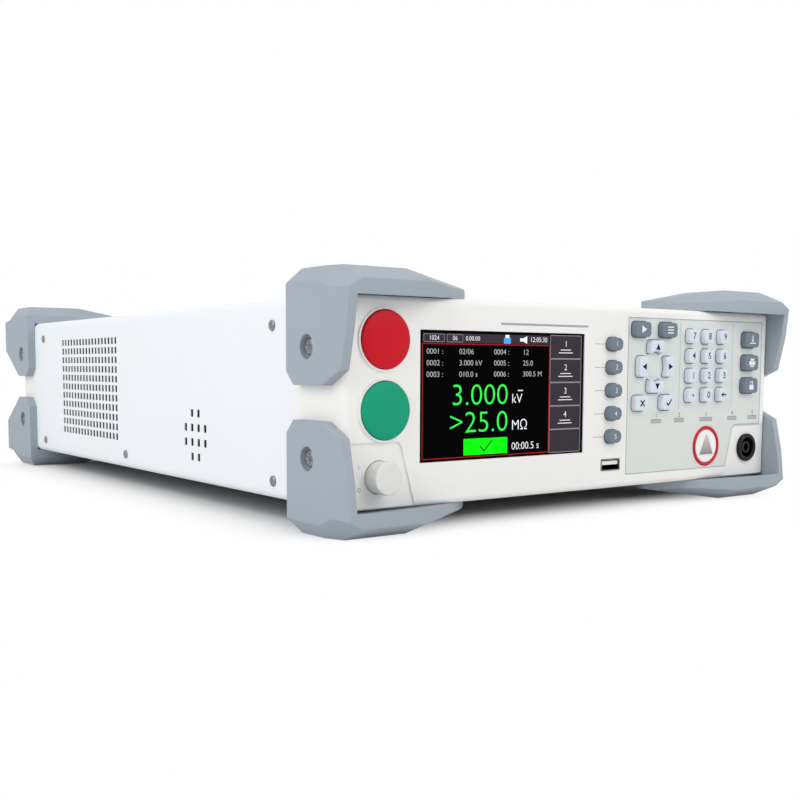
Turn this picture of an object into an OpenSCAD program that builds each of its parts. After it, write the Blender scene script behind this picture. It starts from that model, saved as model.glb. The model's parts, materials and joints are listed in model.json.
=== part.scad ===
// Bench withstand-voltage (hipot) tester: moulded front bezel with colour display and keypad,
// folded sheet cover on a sheet tray, moulded rear frame and eight bumper guards that are also its feet.
// +X is to the right seen from the front, +Y to the rear, +Z up. The origin lies on the floor, in the middle.

/* [Case] */
// Width of the case without guards
body_w = 276; // [250:1:300]
// Height of the case without guards
body_h = 87; // [86:1:100]
// Depth from front face to rear face
body_d = 410; // [380:1:460]
// Radius of the long edges of the case
edge_r = 4; // [3:0.5:6]
// Thickness of the folded sheet
sheet_t = 1.2; // [0.8:0.1:1.5]
// Width of the lips that the cover folds under the tray
cover_lip = 14; // [8:1:24]
// Length over which the tray slides into the bezel and the rear frame
tray_overlap = 8; // [5:0.5:10]
// Height of the low side walls of the tray
tray_wall_h = 14; // [12:1:20]

/* [Front bezel] */
// Depth of the moulded front bezel
bezel_d = 38; // [34:1:46]
// Side wall of the bezel and of the rear frame
bezel_wall = 2.5; // [2:0.1:3]
// Thickness of the front wall
front_wall = 3; // [2.5:0.1:4]
// Rounding of the front edges
face_r = 3; // [2:0.5:4]
// Depth of the two bottom corner fields
corner_field_d = 0.8; // [0.4:0.1:1]
// Width of the corner fields at their foot
corner_field_w = 33; // [28:1:36]
// Space between the status windows and the corner fields under them
corner_field_gap = 3.8; // [3:0.1:5]

/* [Rear frame] */
// Depth of the moulded rear frame
rear_d = 23; // [21:0.5:28]
// How deep the rear panel lies inside the rear frame
panel_set = 3; // [2:0.5:4]
// Thickness of the rear panel
panel_t = 1.5; // [1:0.1:2]

/* [Guards] */
// How far the guards stand out at the sides
guard_side = 5; // [4:0.5:8]
// How far the pads stand above and below the case
guard_pad = 11.5; // [9:0.5:14]
// How far the front guards stand in front of the front face
front_lip = 10; // [8:0.5:14]
// How far the front guards reach back from the front face
front_span = 36.3; // [32:0.1:37]
// How far the rear guards stand behind the rear face
rear_lip = 30.5; // [22:0.5:34]
// How far the rear guards reach forward from the rear face
rear_span = 25; // [22:0.5:30]
// Reach of a guard arm from its outer side towards the middle
arm_reach = 82; // [70:1:90]
// Height of the upright front face of an arm
arm_face = 6.8; // [5:0.2:9]
// Gap between the upper and lower front guard
front_guard_gap = 14.4; // [8:0.2:20]
// Gap between the upper and lower rear guard
rear_guard_gap = 14.6; // [8:0.2:20]
// How far the outer side of a guard draws in towards its lip
guard_taper = 1; // [0.4:0.1:2]

/* [Display] */
// Space between the rims of the round buttons and the display window
window_left = 5.25; // [4.8:0.05:8]
// Space between the display window and the soft keys
window_right = 14.4; // [12:0.1:18]
// Height of the display window
window_h = 55.4; // [50:0.1:58]
// Height of the window centre above the middle of the case
window_z = 2.4; // [0:0.1:4]
// How far the window lies behind the front face
window_set = 0.5; // [0.2:0.1:1]
// How far the display module behind the window reaches past it at the left and right
module_side = 4.4; // [3:0.1:4.8]
// Height of the display module
module_h = 67.2; // [64:0.1:70]
// Thickness of the display module
module_t = 3.5; // [2.5:0.1:5]

/* [Keypad] */
// Thickness of the keypad overlay
overlay_t = 0.5; // [0.3:0.1:0.8]
// Width of the overlay
overlay_w = 106.3; // [96:0.1:118]
// Margin between the overlay and the right side of the case
overlay_margin = 5.3; // [4.5:0.1:7]
// Upper edge of the overlay above the middle of the case
overlay_top = 38.7; // [37:0.1:39.5]
// Lower edge of the overlay below the middle of the case
overlay_bottom = 37.4; // [36:0.1:38.5]
// How far the keys stand in front of the face
key_proud = 3; // [2:0.1:4]
// Travel of the small keys
key_travel = 1.2; // [0.6:0.1:1.5]
// Clearance round keys and buttons
key_gap = 0.3; // [0.25:0.05:0.5]
// Width of the hidden tabs that hold a key behind the front wall
key_rim = 0.8; // [0.6:0.1:1]
// Inward slope of the sides of a key
key_taper = 0.5; // [0.2:0.1:0.8]
// Corner radius of the keys
key_r = 2; // [1:0.1:2.4]
// Corner radius of the soft keys, whose ends are nearly half round
soft_r = 2.8; // [1:0.1:3]
// Width of a soft key beside the display
soft_w = 9; // [8:0.1:10]
// Height of a soft key
soft_h = 6.3; // [5:0.1:7]
// Spacing of the soft keys
soft_pitch = 11; // [9.5:0.1:11.5]
// Width of a digit key
digit_w = 7; // [6:0.1:8]
// Height of a digit key
digit_h = 7.2; // [6:0.1:7.4]
// Spacing of the digit columns
digit_pitch_x = 12.4; // [11:0.1:12.8]
// Spacing of the digit rows
digit_pitch_z = 9.93; // [9.6:0.01:10.2]
// Width of the two menu keys
menu_w = 11.4; // [10:0.1:12]
// Height of the menu keys
menu_h = 7.5; // [6.5:0.1:7.8]
// Width of the two answer keys under the arrows
answer_w = 9.4; // [8:0.1:10]
// Height of the answer keys
answer_h = 7.6; // [6.5:0.1:7.8]
// Width of the three keys at the right
side_key_w = 11.9; // [10:0.1:12.5]
// Height of the keys at the right
side_key_h = 8.2; // [7:0.1:9]
// Spacing of the keys at the right
side_key_pitch = 12.1; // [11:0.1:13]
// Length of an arrow key along the ring
arrow_w = 10.2; // [9:0.1:10.6]
// Depth of an arrow key across the ring
arrow_h = 7.2; // [6.5:0.1:7.5]
// Radius of the round field inside the arrow keys
arrow_ring = 7.4; // [6.5:0.1:7.6]
// Distance of an arrow key from the middle of the ring
arrow_off = 9.4; // [9.2:0.1:9.6]

/* [Buttons] */
// Radius of the stop and start buttons
button_r = 11.85; // [10:0.05:12.5]
// How far their caps stand in front of the face
button_proud = 2.6; // [1.5:0.1:4]
// Travel of the stop and start buttons
button_travel = 2; // [1:0.1:2.2]
// Width of the moulded rim round these buttons
button_rim = 0.8; // [0.5:0.1:1.2]
// Height of the start button below the stop button
button_pitch = 28.6; // [28.2:0.1:30]
// Distance of the buttons from the left side of the case
button_margin = 19.7; // [17.5:0.1:21]
// Radius of the power button
power_r = 6.7; // [5:0.1:7]
// How far the power button stands out
power_proud = 7; // [4:0.1:9]
// Travel of the power button
power_travel = 3; // [2:0.1:3.2]

/* [Connectors] */
// Outer radius of the lamp ring
lamp_r = 10.3; // [9:0.1:11]
// Width of the coloured lamp ring
lamp_ring_w = 1.7; // [1.2:0.1:2.4]
// Outer radius of the output jack
jack_r = 7.4; // [7:0.1:8]
// How far the collar of the output jack stands out
jack_proud = 0.9; // [0.6:0.1:2]
// Radius of the contact bore of the output jack
jack_bore_r = 2; // [1.8:0.05:2.2]
// Depth of the contact bore
jack_depth = 18; // [14:0.5:20]
// Width of the data socket shell
usb_w = 12.9; // [12.5:0.1:13.2]
// Height of the data socket shell
usb_h = 5.5; // [5.2:0.1:5.8]

/* [Vents] */
// Width of a vent slot
slot_w = 2.9; // [2:0.1:3.5]
// Height of a vent slot
slot_h = 3.8; // [3:0.1:4.5]
// Slot spacing along the case
slot_pitch_y = 5.29; // [4.8:0.01:6]
// Slot spacing up the case
slot_pitch_z = 5.55; // [5:0.01:5.8]
// Slot columns in the large field
slot_columns = 18; // [10:1:20]
// Slot rows in the large field
slot_rows = 11; // [7:1:12]
// Spacing in the small sounder field
sounder_pitch = 7.3; // [6:0.1:8]

/* [Fan] */
// Size of the square fan
fan_size = 60; // [50:1:62]
// Depth of the fan
fan_d = 25; // [20:1:28]
// Number of fan blades
fan_blades = 7; // [5:1:9]

/* [Hidden] */
$fn = 48;
over = 1;
inner_w = body_w - 2 * bezel_wall;
inner_h = body_h - 2 * bezel_wall;
front_y = front_lip - (body_d + front_lip + rear_lip) / 2;
rear_y = front_y + body_d;
mid_z = guard_pad + body_h / 2;
low_z = guard_pad;
half_w = body_w / 2;
half_h = body_h / 2;
out_x = half_w + guard_side;

// Front panel layout, measured from the panel centre
overlay_x1 = half_w - overlay_margin;
overlay_x0 = overlay_x1 - overlay_w;
overlay_r = 2;
soft_gap = 6.4;
soft_x = overlay_x0 - soft_gap - soft_w / 2;
soft_z = 3.6;
button_x = button_margin - half_w;
window_x0 = button_x + button_r + key_gap + button_rim + window_left;
window_x1 = soft_x - soft_w / 2 - window_right;
window_w = window_x1 - window_x0;
window_x = (window_x0 + window_x1) / 2;
module_w = window_w + 2 * module_side;
board_post_r = 2.5;
board_post_x = (window_x1 + module_side + soft_x - soft_w / 2) / 2;
menu_x = overlay_x0 + 7.8;
menu_step = 19.6;
menu_z = 33;
ring_x = menu_x + menu_step / 2 + 0.8;
ring_z = 15;
answer_z = -2.8;
digit_gap = 9.4;
digit_x = menu_x + menu_step + menu_w / 2 + digit_gap + digit_w / 2;
digit_z = 30.3;
side_key_inset = 12.1;
side_key_x = overlay_x1 - side_key_inset;
side_key_z = 29.2;
lamp_row_z = -12;
lamp_row_h = 1.7;
lamp_row_x0 = overlay_x0 + 21.7;
lamp_row_x1 = overlay_x1 - 6.4;
lamp_row_share = [0, 0.224, 0.499, 0.777, 1];
lamp_row_w = [7.4, 7.4, 10, 7.4, 7.4];
lamp_row = [for (i = [0:4]) [lamp_row_x0 + lamp_row_share[i] * (lamp_row_x1 - lamp_row_x0), lamp_row_w[i]]];
lamp_x = lamp_row[2][0] + 0.3;
lamp_z = -26;
jack_barrel_r = jack_r - 1.4;
jack_x = half_w - 15.9;
jack_z = -28.2;
usb_x = soft_x;
usb_z = -32;
stop_z = 25.7;
start_z = stop_z - button_pitch;
power_x = 17.5 - half_w;
power_z = -30.1;

// Depths behind the front face
rim_y0 = front_wall;
rim_t = 1.2;
stem_end = rim_y0 + rim_t + 3;
switch_y = stem_end + key_travel + key_gap;
switch_h = 3.5;
board_y = switch_y + switch_h;
board_t = 1.6;
button_end = switch_y - button_travel - key_gap;
power_end = switch_y - power_travel - key_gap;
switch_s = 6;
stem_r = 1.6;
arrow_stem = 0.8;

// Tray, rear panel and what stands on them
tray_y0 = front_y + bezel_d - tray_overlap;
tray_y1 = rear_y - rear_d + tray_overlap;
floor_z = low_z + 2 * sheet_t;
cover_y0 = front_y + bezel_d;
cover_y1 = rear_y - rear_d;
panel_y1 = rear_y - panel_set;
panel_y0 = panel_y1 - panel_t;
inlet_w = 27;
inlet_h = 20;
inlet_side = 26.5;
inlet_x = inlet_side + inlet_w / 2 - half_w;
inlet_z = -14;
earth_gap = 18.5;
earth_x = inlet_x + inlet_w / 2 + earth_gap;
earth_z = -27;
earth_r = 2;
fan_gap = 6;
fan_x = earth_x + fan_gap + fan_size / 2;
fan_r = fan_size / 2 - 1.4;
rotor_r = fan_r - 1.1;
hub_r = 11;
fan_holes = [for (sx = [-1, 1]) for (sz = [-1, 1]) [sx, sz] * (fan_size / 2 - 5)];
spindle_r = 1.5;
motor_plate = 3;
pcb_lift = 8;
pcb_gap = 6;
pcb_side = 20;
pcb_x0 = fan_x + fan_size / 2 + pcb_gap;
pcb_w = half_w - pcb_side - pcb_x0;
pcb_x = pcb_x0 + pcb_w / 2;
pcb_d = 150;
port_w = 17;
port_h = 8.5;
port_step = 44;
port_x = [pcb_x - port_step / 2, pcb_x + port_step / 2];
sink_w = 34;
sink_d = 70;
sink_base = 4;
sink_h = 34;
sink_fins = 6;
fin_t = 2;
cap_r = 9;
cap_h = 30;
cap_pitch = 26;
cap_side = 17;
cap_front = 30;
pcb_y1 = panel_y0;
pcb_z = floor_z + pcb_lift;
port_z = pcb_z + board_t + 6.5;
core_side = 21;
core_leg = 14;
winding_side = 9;
core_front = 150;
core_y = front_y + core_front;
core_w = 76;
core_d = 64;
core_h = 62;
core_x = core_side + winding_side + core_w / 2 - half_w;

// Guard plan, measured from the outer side
arm_flat = 34;
arm_bend = 43;
pad_reach = 38.5;

// Screws
guard_screw_r = 2;
guard_head_r = 3.7;
guard_head_h = 2;
guard_recess_r = guard_head_r + 1.3;
guard_recess_d = 3;
cover_screw_r = 1.4;
cover_screw_front = 18;
cover_screw_rear = 20.5;
cover_screw_mid = 162;
cover_screw_top = 32.5;
cover_screw_low = 8;
cover_head_r = 2.7;
cover_head_h = 1.1;
boss_r = 4.2;
boss_l = 5;
screw_clear = 0.15;
guard_screw_front = [20.1, 22.8];
guard_screw_rear = [panel_set + panel_t + 2 * screw_clear + boss_r, 22.6];

// Vents
vent_back = 103.8;
vent_rise = 1.5;
sounder_front = 139.5;
sounder_drop = 19.6;

// Keys: name, centre x and z, width, height, corner radius, ring angle for arrow keys
soft_keys = [for (i = [0:4])
    [str("soft_key_", i + 1), soft_x, soft_z + (2 - i) * soft_pitch, soft_w, soft_h,
        min(soft_r, soft_h / 2 - 0.1)]];
menu_keys = [
    ["test_key", menu_x, menu_z, menu_w, menu_h, key_r],
    ["setup_key", menu_x + menu_step, menu_z, menu_w, menu_h, key_r],
    ["cancel_key", menu_x, answer_z, answer_w, answer_h, key_r],
    ["accept_key", menu_x + menu_step, answer_z, answer_w, answer_h, key_r],
];
arrow_names = ["up_key", "left_key", "down_key", "right_key"];
arrow_keys = [for (i = [0:3]) [arrow_names[i], 0, 0, arrow_w, arrow_h, key_r, 90 * i]];
digit_names = [
    ["digit_7", "digit_8", "digit_9"],
    ["digit_4", "digit_5", "digit_6"],
    ["digit_1", "digit_2", "digit_3"],
    ["point_key", "digit_0", "erase_key"],
];
digit_keys = [for (r = [0:3]) for (c = [0:2])
    [digit_names[r][c], digit_x + c * digit_pitch_x, digit_z - r * digit_pitch_z, digit_w, digit_h,
        key_r]];
side_names = ["save_key", "print_key", "lock_key"];
side_keys = [for (i = [0:2])
    [side_names[i], side_key_x, side_key_z - i * side_key_pitch, side_key_w, side_key_h, key_r]];
KEYS = concat(soft_keys, menu_keys, arrow_keys, digit_keys, side_keys);

GUARDS = [for (end = ["front", "rear"]) for (side = ["left", "right"]) for (level = ["top", "bottom"])
    [str("guard_", end, "_", side, "_", level), end, side == "left", level == "bottom"]];

// Flat outlines lie in x and z and are drawn out along y from y0 to y1
module slab(y0, y1) {
    translate([0, y1, 0])
        rotate([90, 0, 0])
            linear_extrude(y1 - y0)
                children();
}

// Outlines in y and z, drawn out along x from x0 to x1
module side_slab(x0, x1) {
    translate([x0, 0, 0])
        rotate([90, 0, 90])
            linear_extrude(x1 - x0)
                children();
}

// Rectangle with round corners
module round_rect(w, h, r) {
    square([w - 2 * r, h], center = true);
    square([w, h - 2 * r], center = true);
    for (sx = [-1, 1])
        for (sz = [-1, 1])
            translate([sx * (w / 2 - r), sz * (h / 2 - r)])
                circle(r);
}

// Block outline that is round only at its front corners, from depth 0 to d
module front_round(w, d, r) {
    translate([-w / 2, r])
        square([w, d - r]);
    translate([r - w / 2, 0])
        square([w - 2 * r, 2 * r]);
    for (s = [-1, 1])
        translate([s * (w / 2 - r), r])
            circle(r);
}

// Moves to a spot on the front face
module on_face(x, z) {
    translate([x, front_y, mid_z + z])
        children();
}

// Arrow keys are those with a ring angle
function is_arrow(k) = len(k) > 6;

// Outline of one key, grown by a margin
module key_outline(k, grow, tab = 0) {
    difference() {
        round_rect(k[3] + 2 * grow + 2 * tab, k[4] + 2 * grow, k[5] + grow);
        if (is_arrow(k))
            translate([0, -arrow_off])
                circle(arrow_ring - grow);
    }
}

// Moves to a key; arrow keys are turned round the middle of their ring
module at_key(k) {
    if (is_arrow(k))
        on_face(ring_x, ring_z)
            rotate([0, -k[6], 0])
                translate([0, 0, arrow_off])
                    children();
    else
        on_face(k[1], k[2])
            children();
}

// Section across a key that narrows towards its front
module key_section(w) {
    polygon([[-w / 2, 0], [key_taper - w / 2, -key_proud], [w / 2 - key_taper, -key_proud], [w / 2, 0],
        [w / 2, rim_y0 + rim_t], [-w / 2, rim_y0 + rim_t]]);
}

// Key cap with end tabs behind the front wall and a stem that reaches to its switch
module key(k) {
    color(is_arrow(k) || k[3] < soft_w ? "white" : "slategray")
        at_key(k) {
            intersection() {
                slab(-key_proud, rim_y0 + rim_t)
                    key_outline(k, 0);
                translate([0, 0, -k[4]])
                    linear_extrude(2 * k[4])
                        key_section(k[3]);
                rotate([0, -90, 0])
                    translate([0, 0, -k[3]])
                        linear_extrude(2 * k[3])
                            key_section(k[4]);
            }
            slab(rim_y0, rim_y0 + rim_t)
                key_outline(k, 0, key_rim);
            slab(rim_y0 + rim_t, stem_end)
                translate([0, is_arrow(k) ? arrow_stem : 0])
                    circle(stem_r);
        }
}

// Domed push button: a shallow crowned cap turned about its axis, with a rim and a stem
module round_button(r, proud, crown, stem_y, tint) {
    rim_r = r + key_rim + key_gap;
    rim_end = rim_y0 + rim_t;
    stem = [[0, -stem_y], [stem_r * 2, -stem_y], [stem_r * 2, -rim_end]];
    rim = [[rim_r, -rim_end], [rim_r, -rim_y0], [r, -rim_y0]];
    dome = [[r, proud - crown], [r * 0.94, proud - crown * 0.45],
        [r * 0.7, proud - crown * 0.12], [0, proud]];
    color(tint)
        rotate([90, 0, 0])
            rotate_extrude($fn = 96)
                polygon(concat(stem, rim, dome));
}

module stop_button() {
    on_face(button_x, stop_z)
        round_button(button_r, button_proud, 1.4, button_end, "crimson");
}

module start_button() {
    on_face(button_x, start_z)
        round_button(button_r, button_proud, 1.4, button_end, "mediumseagreen");
}

module power_button() {
    on_face(power_x, power_z)
        round_button(power_r, power_proud, 0.6, power_end, "gainsboro");
}

// Corner field: a sloped inner side, open to the lower edge and the side of the face
module corner_field(side) {
    foot = corner_field_w + 2.7;
    head = foot - 7;
    top = lamp_row_z - corner_field_gap;
    polygon([[side * half_w, -half_h], [side * (half_w - foot), -half_h], [side * (half_w - head), top - 2],
        [side * (half_w - head + 2), top], [side * half_w, top]]);
}

// Outline of the overlay sheet, cut away round the corner field of the jack
module overlay_outline(gap) {
    difference() {
        translate([overlay_x0 + overlay_w / 2, (overlay_top - overlay_bottom) / 2])
            round_rect(overlay_w - 2 * gap, overlay_top + overlay_bottom - 2 * gap, overlay_r);
        translate([-gap, gap])
            corner_field(1);
    }
}

// Openings that the overlay and the front wall share
module key_openings(y0, y1) {
    for (k = KEYS)
        at_key(k)
            slab(y0, y1)
                key_outline(k, key_gap);
}

module lamp_openings(gap) {
    for (l = lamp_row)
        translate([l[0], lamp_row_z])
            square([l[1] + 2 * gap, lamp_row_h + 2 * gap], center = true);
}

// Outer block of the bezel with round front edges
module bezel_block() {
    translate([0, front_y, mid_z])
        intersection() {
            slab(0, bezel_d)
                round_rect(body_w, body_h, edge_r);
            translate([0, 0, -half_h])
                linear_extrude(body_h)
                    front_round(body_w, bezel_d, face_r);
            rotate([0, -90, 0])
                translate([0, 0, -half_w])
                    linear_extrude(body_w)
                        front_round(body_h, bezel_d, face_r);
        }
}

// Posts that carry the front board
board_posts = [[-1, 1], [1, 1], [-1, -1], [1, -1]];
module board_post_spots() {
    for (p = board_posts)
        translate([p[0] * (half_w - bezel_wall - 4.5), p[1] * (half_h - bezel_wall - 3.5)])
            children();
    for (s = [-1, 1])
        translate([board_post_x, s * (half_h - bezel_wall - board_post_r - 0.1)])
            children();
}

// Moves to each of the four guard screws of one end, with +Z pointing out of the case
module guard_screw_spots(y, z) {
    for (sx = [-1, 1])
        for (sz = [-1, 1])
            translate([sx * half_w, y, mid_z + sz * z])
                rotate([0, sx * 90, 0])
                    children();
}

module front_bezel() {
    color("whitesmoke")
        difference() {
            union() {
                difference() {
                    bezel_block();
                    translate([0, front_y, mid_z]) {
                        slab(front_wall, bezel_d + over)
                            round_rect(inner_w, inner_h, edge_r - bezel_wall);
                        slab(bezel_d - tray_overlap, bezel_d + over)
                            round_rect(body_w - 2 * sheet_t, body_h - 2 * sheet_t, edge_r - sheet_t);
                    }
                }
                translate([0, front_y, mid_z])
                    slab(front_wall, board_y)
                        board_post_spots()
                            circle(board_post_r);
                guard_screw_spots(front_y + guard_screw_front[0], guard_screw_front[1])
                    translate([0, 0, -bezel_wall - boss_l])
                        cylinder(r = boss_r, h = boss_l + bezel_wall / 2);
                for (z = [stop_z, start_z])
                    on_face(button_x, z)
                        slab(-button_rim, front_wall)
                            circle(button_r + key_gap + button_rim, $fn = 96);
            }
            translate([0, front_y, mid_z]) {
                slab(-over, front_wall + over)
                    translate([window_x, window_z])
                        square([window_w, window_h], center = true);
                slab(-over, overlay_t)
                    overlay_outline(0);
                for (s = [-1, 1])
                    slab(-over, corner_field_d)
                        corner_field(s);
                slab(-over, front_wall + over)
                    lamp_openings(key_gap / 2);
            }
            key_openings(-over, front_wall + over);
            for (z = [stop_z, start_z])
                on_face(button_x, z)
                    slab(-button_rim - over, front_wall + over)
                        circle(button_r + key_gap, $fn = 96);
            on_face(power_x, power_z)
                slab(-over, front_wall + over)
                    circle(power_r + key_gap, $fn = 96);
            on_face(lamp_x, lamp_z)
                slab(-over, front_wall + over)
                    circle(lamp_r - lamp_ring_w, $fn = 96);
            on_face(jack_x, jack_z)
                slab(-over, front_wall + over)
                    circle(jack_r - 1.2, $fn = 96);
            on_face(usb_x, usb_z)
                slab(-over, front_wall + over)
                    square([usb_w + key_gap, usb_h + key_gap], center = true);
            guard_screw_spots(front_y + guard_screw_front[0], guard_screw_front[1])
                translate([0, 0, -bezel_wall - boss_l - over])
                    cylinder(r = guard_screw_r + screw_clear, h = bezel_wall + boss_l + 2 * over);
        }
}

// Printed sheet in a shallow recess, with openings for keys and lamps
module keypad_overlay() {
    color("gainsboro")
        difference() {
            translate([0, front_y, mid_z])
                slab(0, overlay_t)
                    difference() {
                        overlay_outline(0.1);
                        lamp_openings(key_gap / 2);
                        translate([lamp_x, lamp_z])
                            circle(lamp_r + key_gap / 2, $fn = 96);
                    }
            key_openings(-over, front_wall);
        }
}

// Clear pane that stands on the display module and fills the window opening
module display_window() {
    color("black")
        on_face(window_x, window_z)
            slab(window_set, front_wall)
                square([window_w - key_gap, window_h - key_gap], center = true);
}

// Flat panel display, held against the back of the front wall
module display_module() {
    color("dimgray")
        on_face(window_x, window_z) {
            slab(front_wall, front_wall + module_t)
                square([module_w, module_h], center = true);
            slab(front_wall + module_t, board_y)
                for (sx = [-1, 1])
                    translate([sx * (module_w / 2 - 8), 0])
                        square([6, module_h * 0.3], center = true);
        }
}

// Circuit board behind the keys with one push switch for each key and button
module front_board() {
    color("darkgreen") {
        translate([0, front_y, mid_z])
            difference() {
                slab(board_y, board_y + board_t)
                    round_rect(inner_w - 2, inner_h - 2, 2);
                slab(board_y - over, board_y + board_t + over)
                    translate([jack_x, jack_z])
                        circle(jack_barrel_r + 2 * key_gap);
            }
        for (k = KEYS)
            at_key(k)
                slab(switch_y, board_y)
                    translate([0, is_arrow(k) ? arrow_stem : 0])
                        square(switch_s, center = true);
        for (z = [stop_z, start_z])
            on_face(button_x, z)
                slab(switch_y, board_y)
                    square(2 * switch_s, center = true);
        on_face(power_x, power_z)
            slab(switch_y, board_y)
                square(switch_s + 4, center = true);
    }
}

// Round lamp lens with a raised coloured ring on the face and a plain raised triangle in its middle
module warning_lamp() {
    ring_proud = 0.8;
    lens_proud = 0.3;
    sign_proud = 0.7;
    color("red")
        on_face(lamp_x, lamp_z) {
            slab(-ring_proud, overlay_t)
                difference() {
                    circle(lamp_r, $fn = 96);
                    circle(lamp_r - lamp_ring_w, $fn = 96);
                }
            slab(-lens_proud, board_y)
                circle(lamp_r - lamp_ring_w - key_gap / 2, $fn = 96);
            slab(-sign_proud, 0)
                polygon([[-5.2, -4], [5.2, -4], [0, 6]]);
        }
}

// Five light pipes that shine through the overlay
module status_lamps() {
    color("lightgray")
        translate([0, front_y, mid_z])
            slab(0, board_y)
                lamp_openings(0);
}

// Data socket: folded metal shell with a contact tongue, soldered to the front board
module usb_socket() {
    shell_t = 0.35;
    shell_proud = 0.3;
    tongue_t = 1.8;
    tongue_side = 0.9;
    color("silver")
        on_face(usb_x, usb_z) {
            difference() {
                slab(-shell_proud, board_y)
                    square([usb_w, usb_h], center = true);
                slab(-over, board_y - 1)
                    square([usb_w - 2 * shell_t, usb_h - 2 * shell_t], center = true);
            }
            slab(1.5, board_y - 0.5)
                translate([0, tongue_t / 2])
                    square([usb_w - 2 * tongue_side, tongue_t], center = true);
        }
}

// Insulated output jack: collar on the face, sheath groove, contact tube and a nut behind the wall
module output_jack() {
    barrel = jack_barrel_r;
    nut_r = jack_r + 1.4;
    edge = 0.6;
    nut_end = front_wall + 4;
    tail = jack_depth + 2.5;
    groove_r = jack_r - 2.2;
    tube_r = jack_bore_r + 1.3;
    groove_end = 3 - jack_depth;
    bore = [[jack_bore_r, 0], [jack_bore_r, -jack_depth], [0, -jack_depth]];
    back = [[0, -tail], [barrel, -tail], [barrel, -nut_end], [nut_r, -nut_end], [nut_r, -front_wall]];
    collar = [[barrel, -front_wall], [barrel, -corner_field_d], [jack_r, -corner_field_d],
        [jack_r, jack_proud - edge]];
    lip = [[jack_r - edge, jack_proud], [groove_r + edge, jack_proud], [groove_r, jack_proud - edge]];
    groove = [[groove_r, groove_end], [tube_r, groove_end], [tube_r, 0]];
    color("black")
        on_face(jack_x, jack_z)
            rotate([90, 0, 0])
                rotate_extrude($fn = 96)
                    polygon(concat(bore, back, collar, lip, groove));
}

// Vent slots of one side: a large field towards the rear and a small sounder field
module vent_outline() {
    field_y = cover_y1 - vent_back;
    field_z = mid_z + vent_rise;
    sounder_y = front_y + sounder_front;
    sounder_z = mid_z - sounder_drop;
    for (c = [0:slot_columns - 1])
        for (r = [0:slot_rows - 1])
            translate([field_y + (c - (slot_columns - 1) / 2) * slot_pitch_y,
                field_z + (r - (slot_rows - 1) / 2) * slot_pitch_z])
                square([slot_w, slot_h], center = true);
    for (r = [0:3])
        for (c = [0:3])
            if (r % 3 > 0 || c % 3 > 0)
                translate([sounder_y + (c - 1.5) * sounder_pitch, sounder_z + (r - 1.5) * sounder_pitch])
                    square([slot_w, slot_h], center = true);
}

// Moves to each cover screw: three along the foot and two along the top of both sides
module cover_screw_spots() {
    for (sx = [-1, 1]) {
        for (y = [cover_y0 + cover_screw_front, cover_y1 - cover_screw_mid, cover_y1 - cover_screw_rear])
            translate([sx * half_w, y, low_z + cover_screw_low])
                rotate([0, sx * 90, 0])
                    children();
        for (y = [cover_y0 + cover_screw_front, cover_y1 - cover_screw_rear])
            translate([sx * half_w, y, mid_z + cover_screw_top])
                rotate([0, sx * 90, 0])
                    children();
    }
}

module screw_holes() {
    cover_screw_spots()
        translate([0, 0, -2 * sheet_t - over])
            cylinder(r = cover_screw_r + screw_clear, h = 2 * sheet_t + 2 * over);
}

// Folded cover: top, two sides with vents, and lips folded in under the tray
module top_cover() {
    color("white")
        difference() {
            translate([0, 0, mid_z])
                slab(cover_y0, cover_y1)
                    difference() {
                        round_rect(body_w, body_h, edge_r);
                        round_rect(body_w - 2 * sheet_t, body_h - 2 * sheet_t, edge_r - sheet_t);
                        translate([0, -half_h])
                            square([body_w - 2 * cover_lip, 4 * sheet_t], center = true);
                    }
            for (sx = [-1, 1])
                side_slab(sx * half_w - 2, sx * half_w + 2)
                    vent_outline();
            screw_holes();
        }
}

// Folded tray: floor, low side walls with tall ears at both ends, and studs for the main board
module base_tray() {
    ear = 40;
    ear_drop = 4;
    stud_r = 3;
    stud_inset = 6;
    stud_front = 8;
    stud_rear = 30;
    color("silver")
        difference() {
            union() {
                intersection() {
                    translate([0, 0, mid_z])
                        slab(tray_y0, tray_y1)
                            difference() {
                                round_rect(body_w - 2 * sheet_t, body_h - 2 * sheet_t, edge_r);
                                translate([0, half_h])
                                    round_rect(body_w - 4 * sheet_t, 2 * body_h - 4 * sheet_t,
                                        edge_r - sheet_t);
                            }
                    side_slab(-half_w, half_w)
                        difference() {
                            translate([tray_y0, low_z])
                                square([tray_y1 - tray_y0, body_h - ear_drop]);
                            translate([tray_y0 + ear, low_z + tray_wall_h])
                                square([tray_y1 - tray_y0 - 2 * ear, body_h]);
                        }
                }
                for (sx = [-1, 1])
                    for (y = [pcb_y1 - pcb_d + stud_front, pcb_y1 - stud_rear])
                        translate([pcb_x + sx * (pcb_w / 2 - stud_inset), y, floor_z])
                            cylinder(r = stud_r, h = pcb_lift);
            }
            screw_holes();
        }
}

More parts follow.
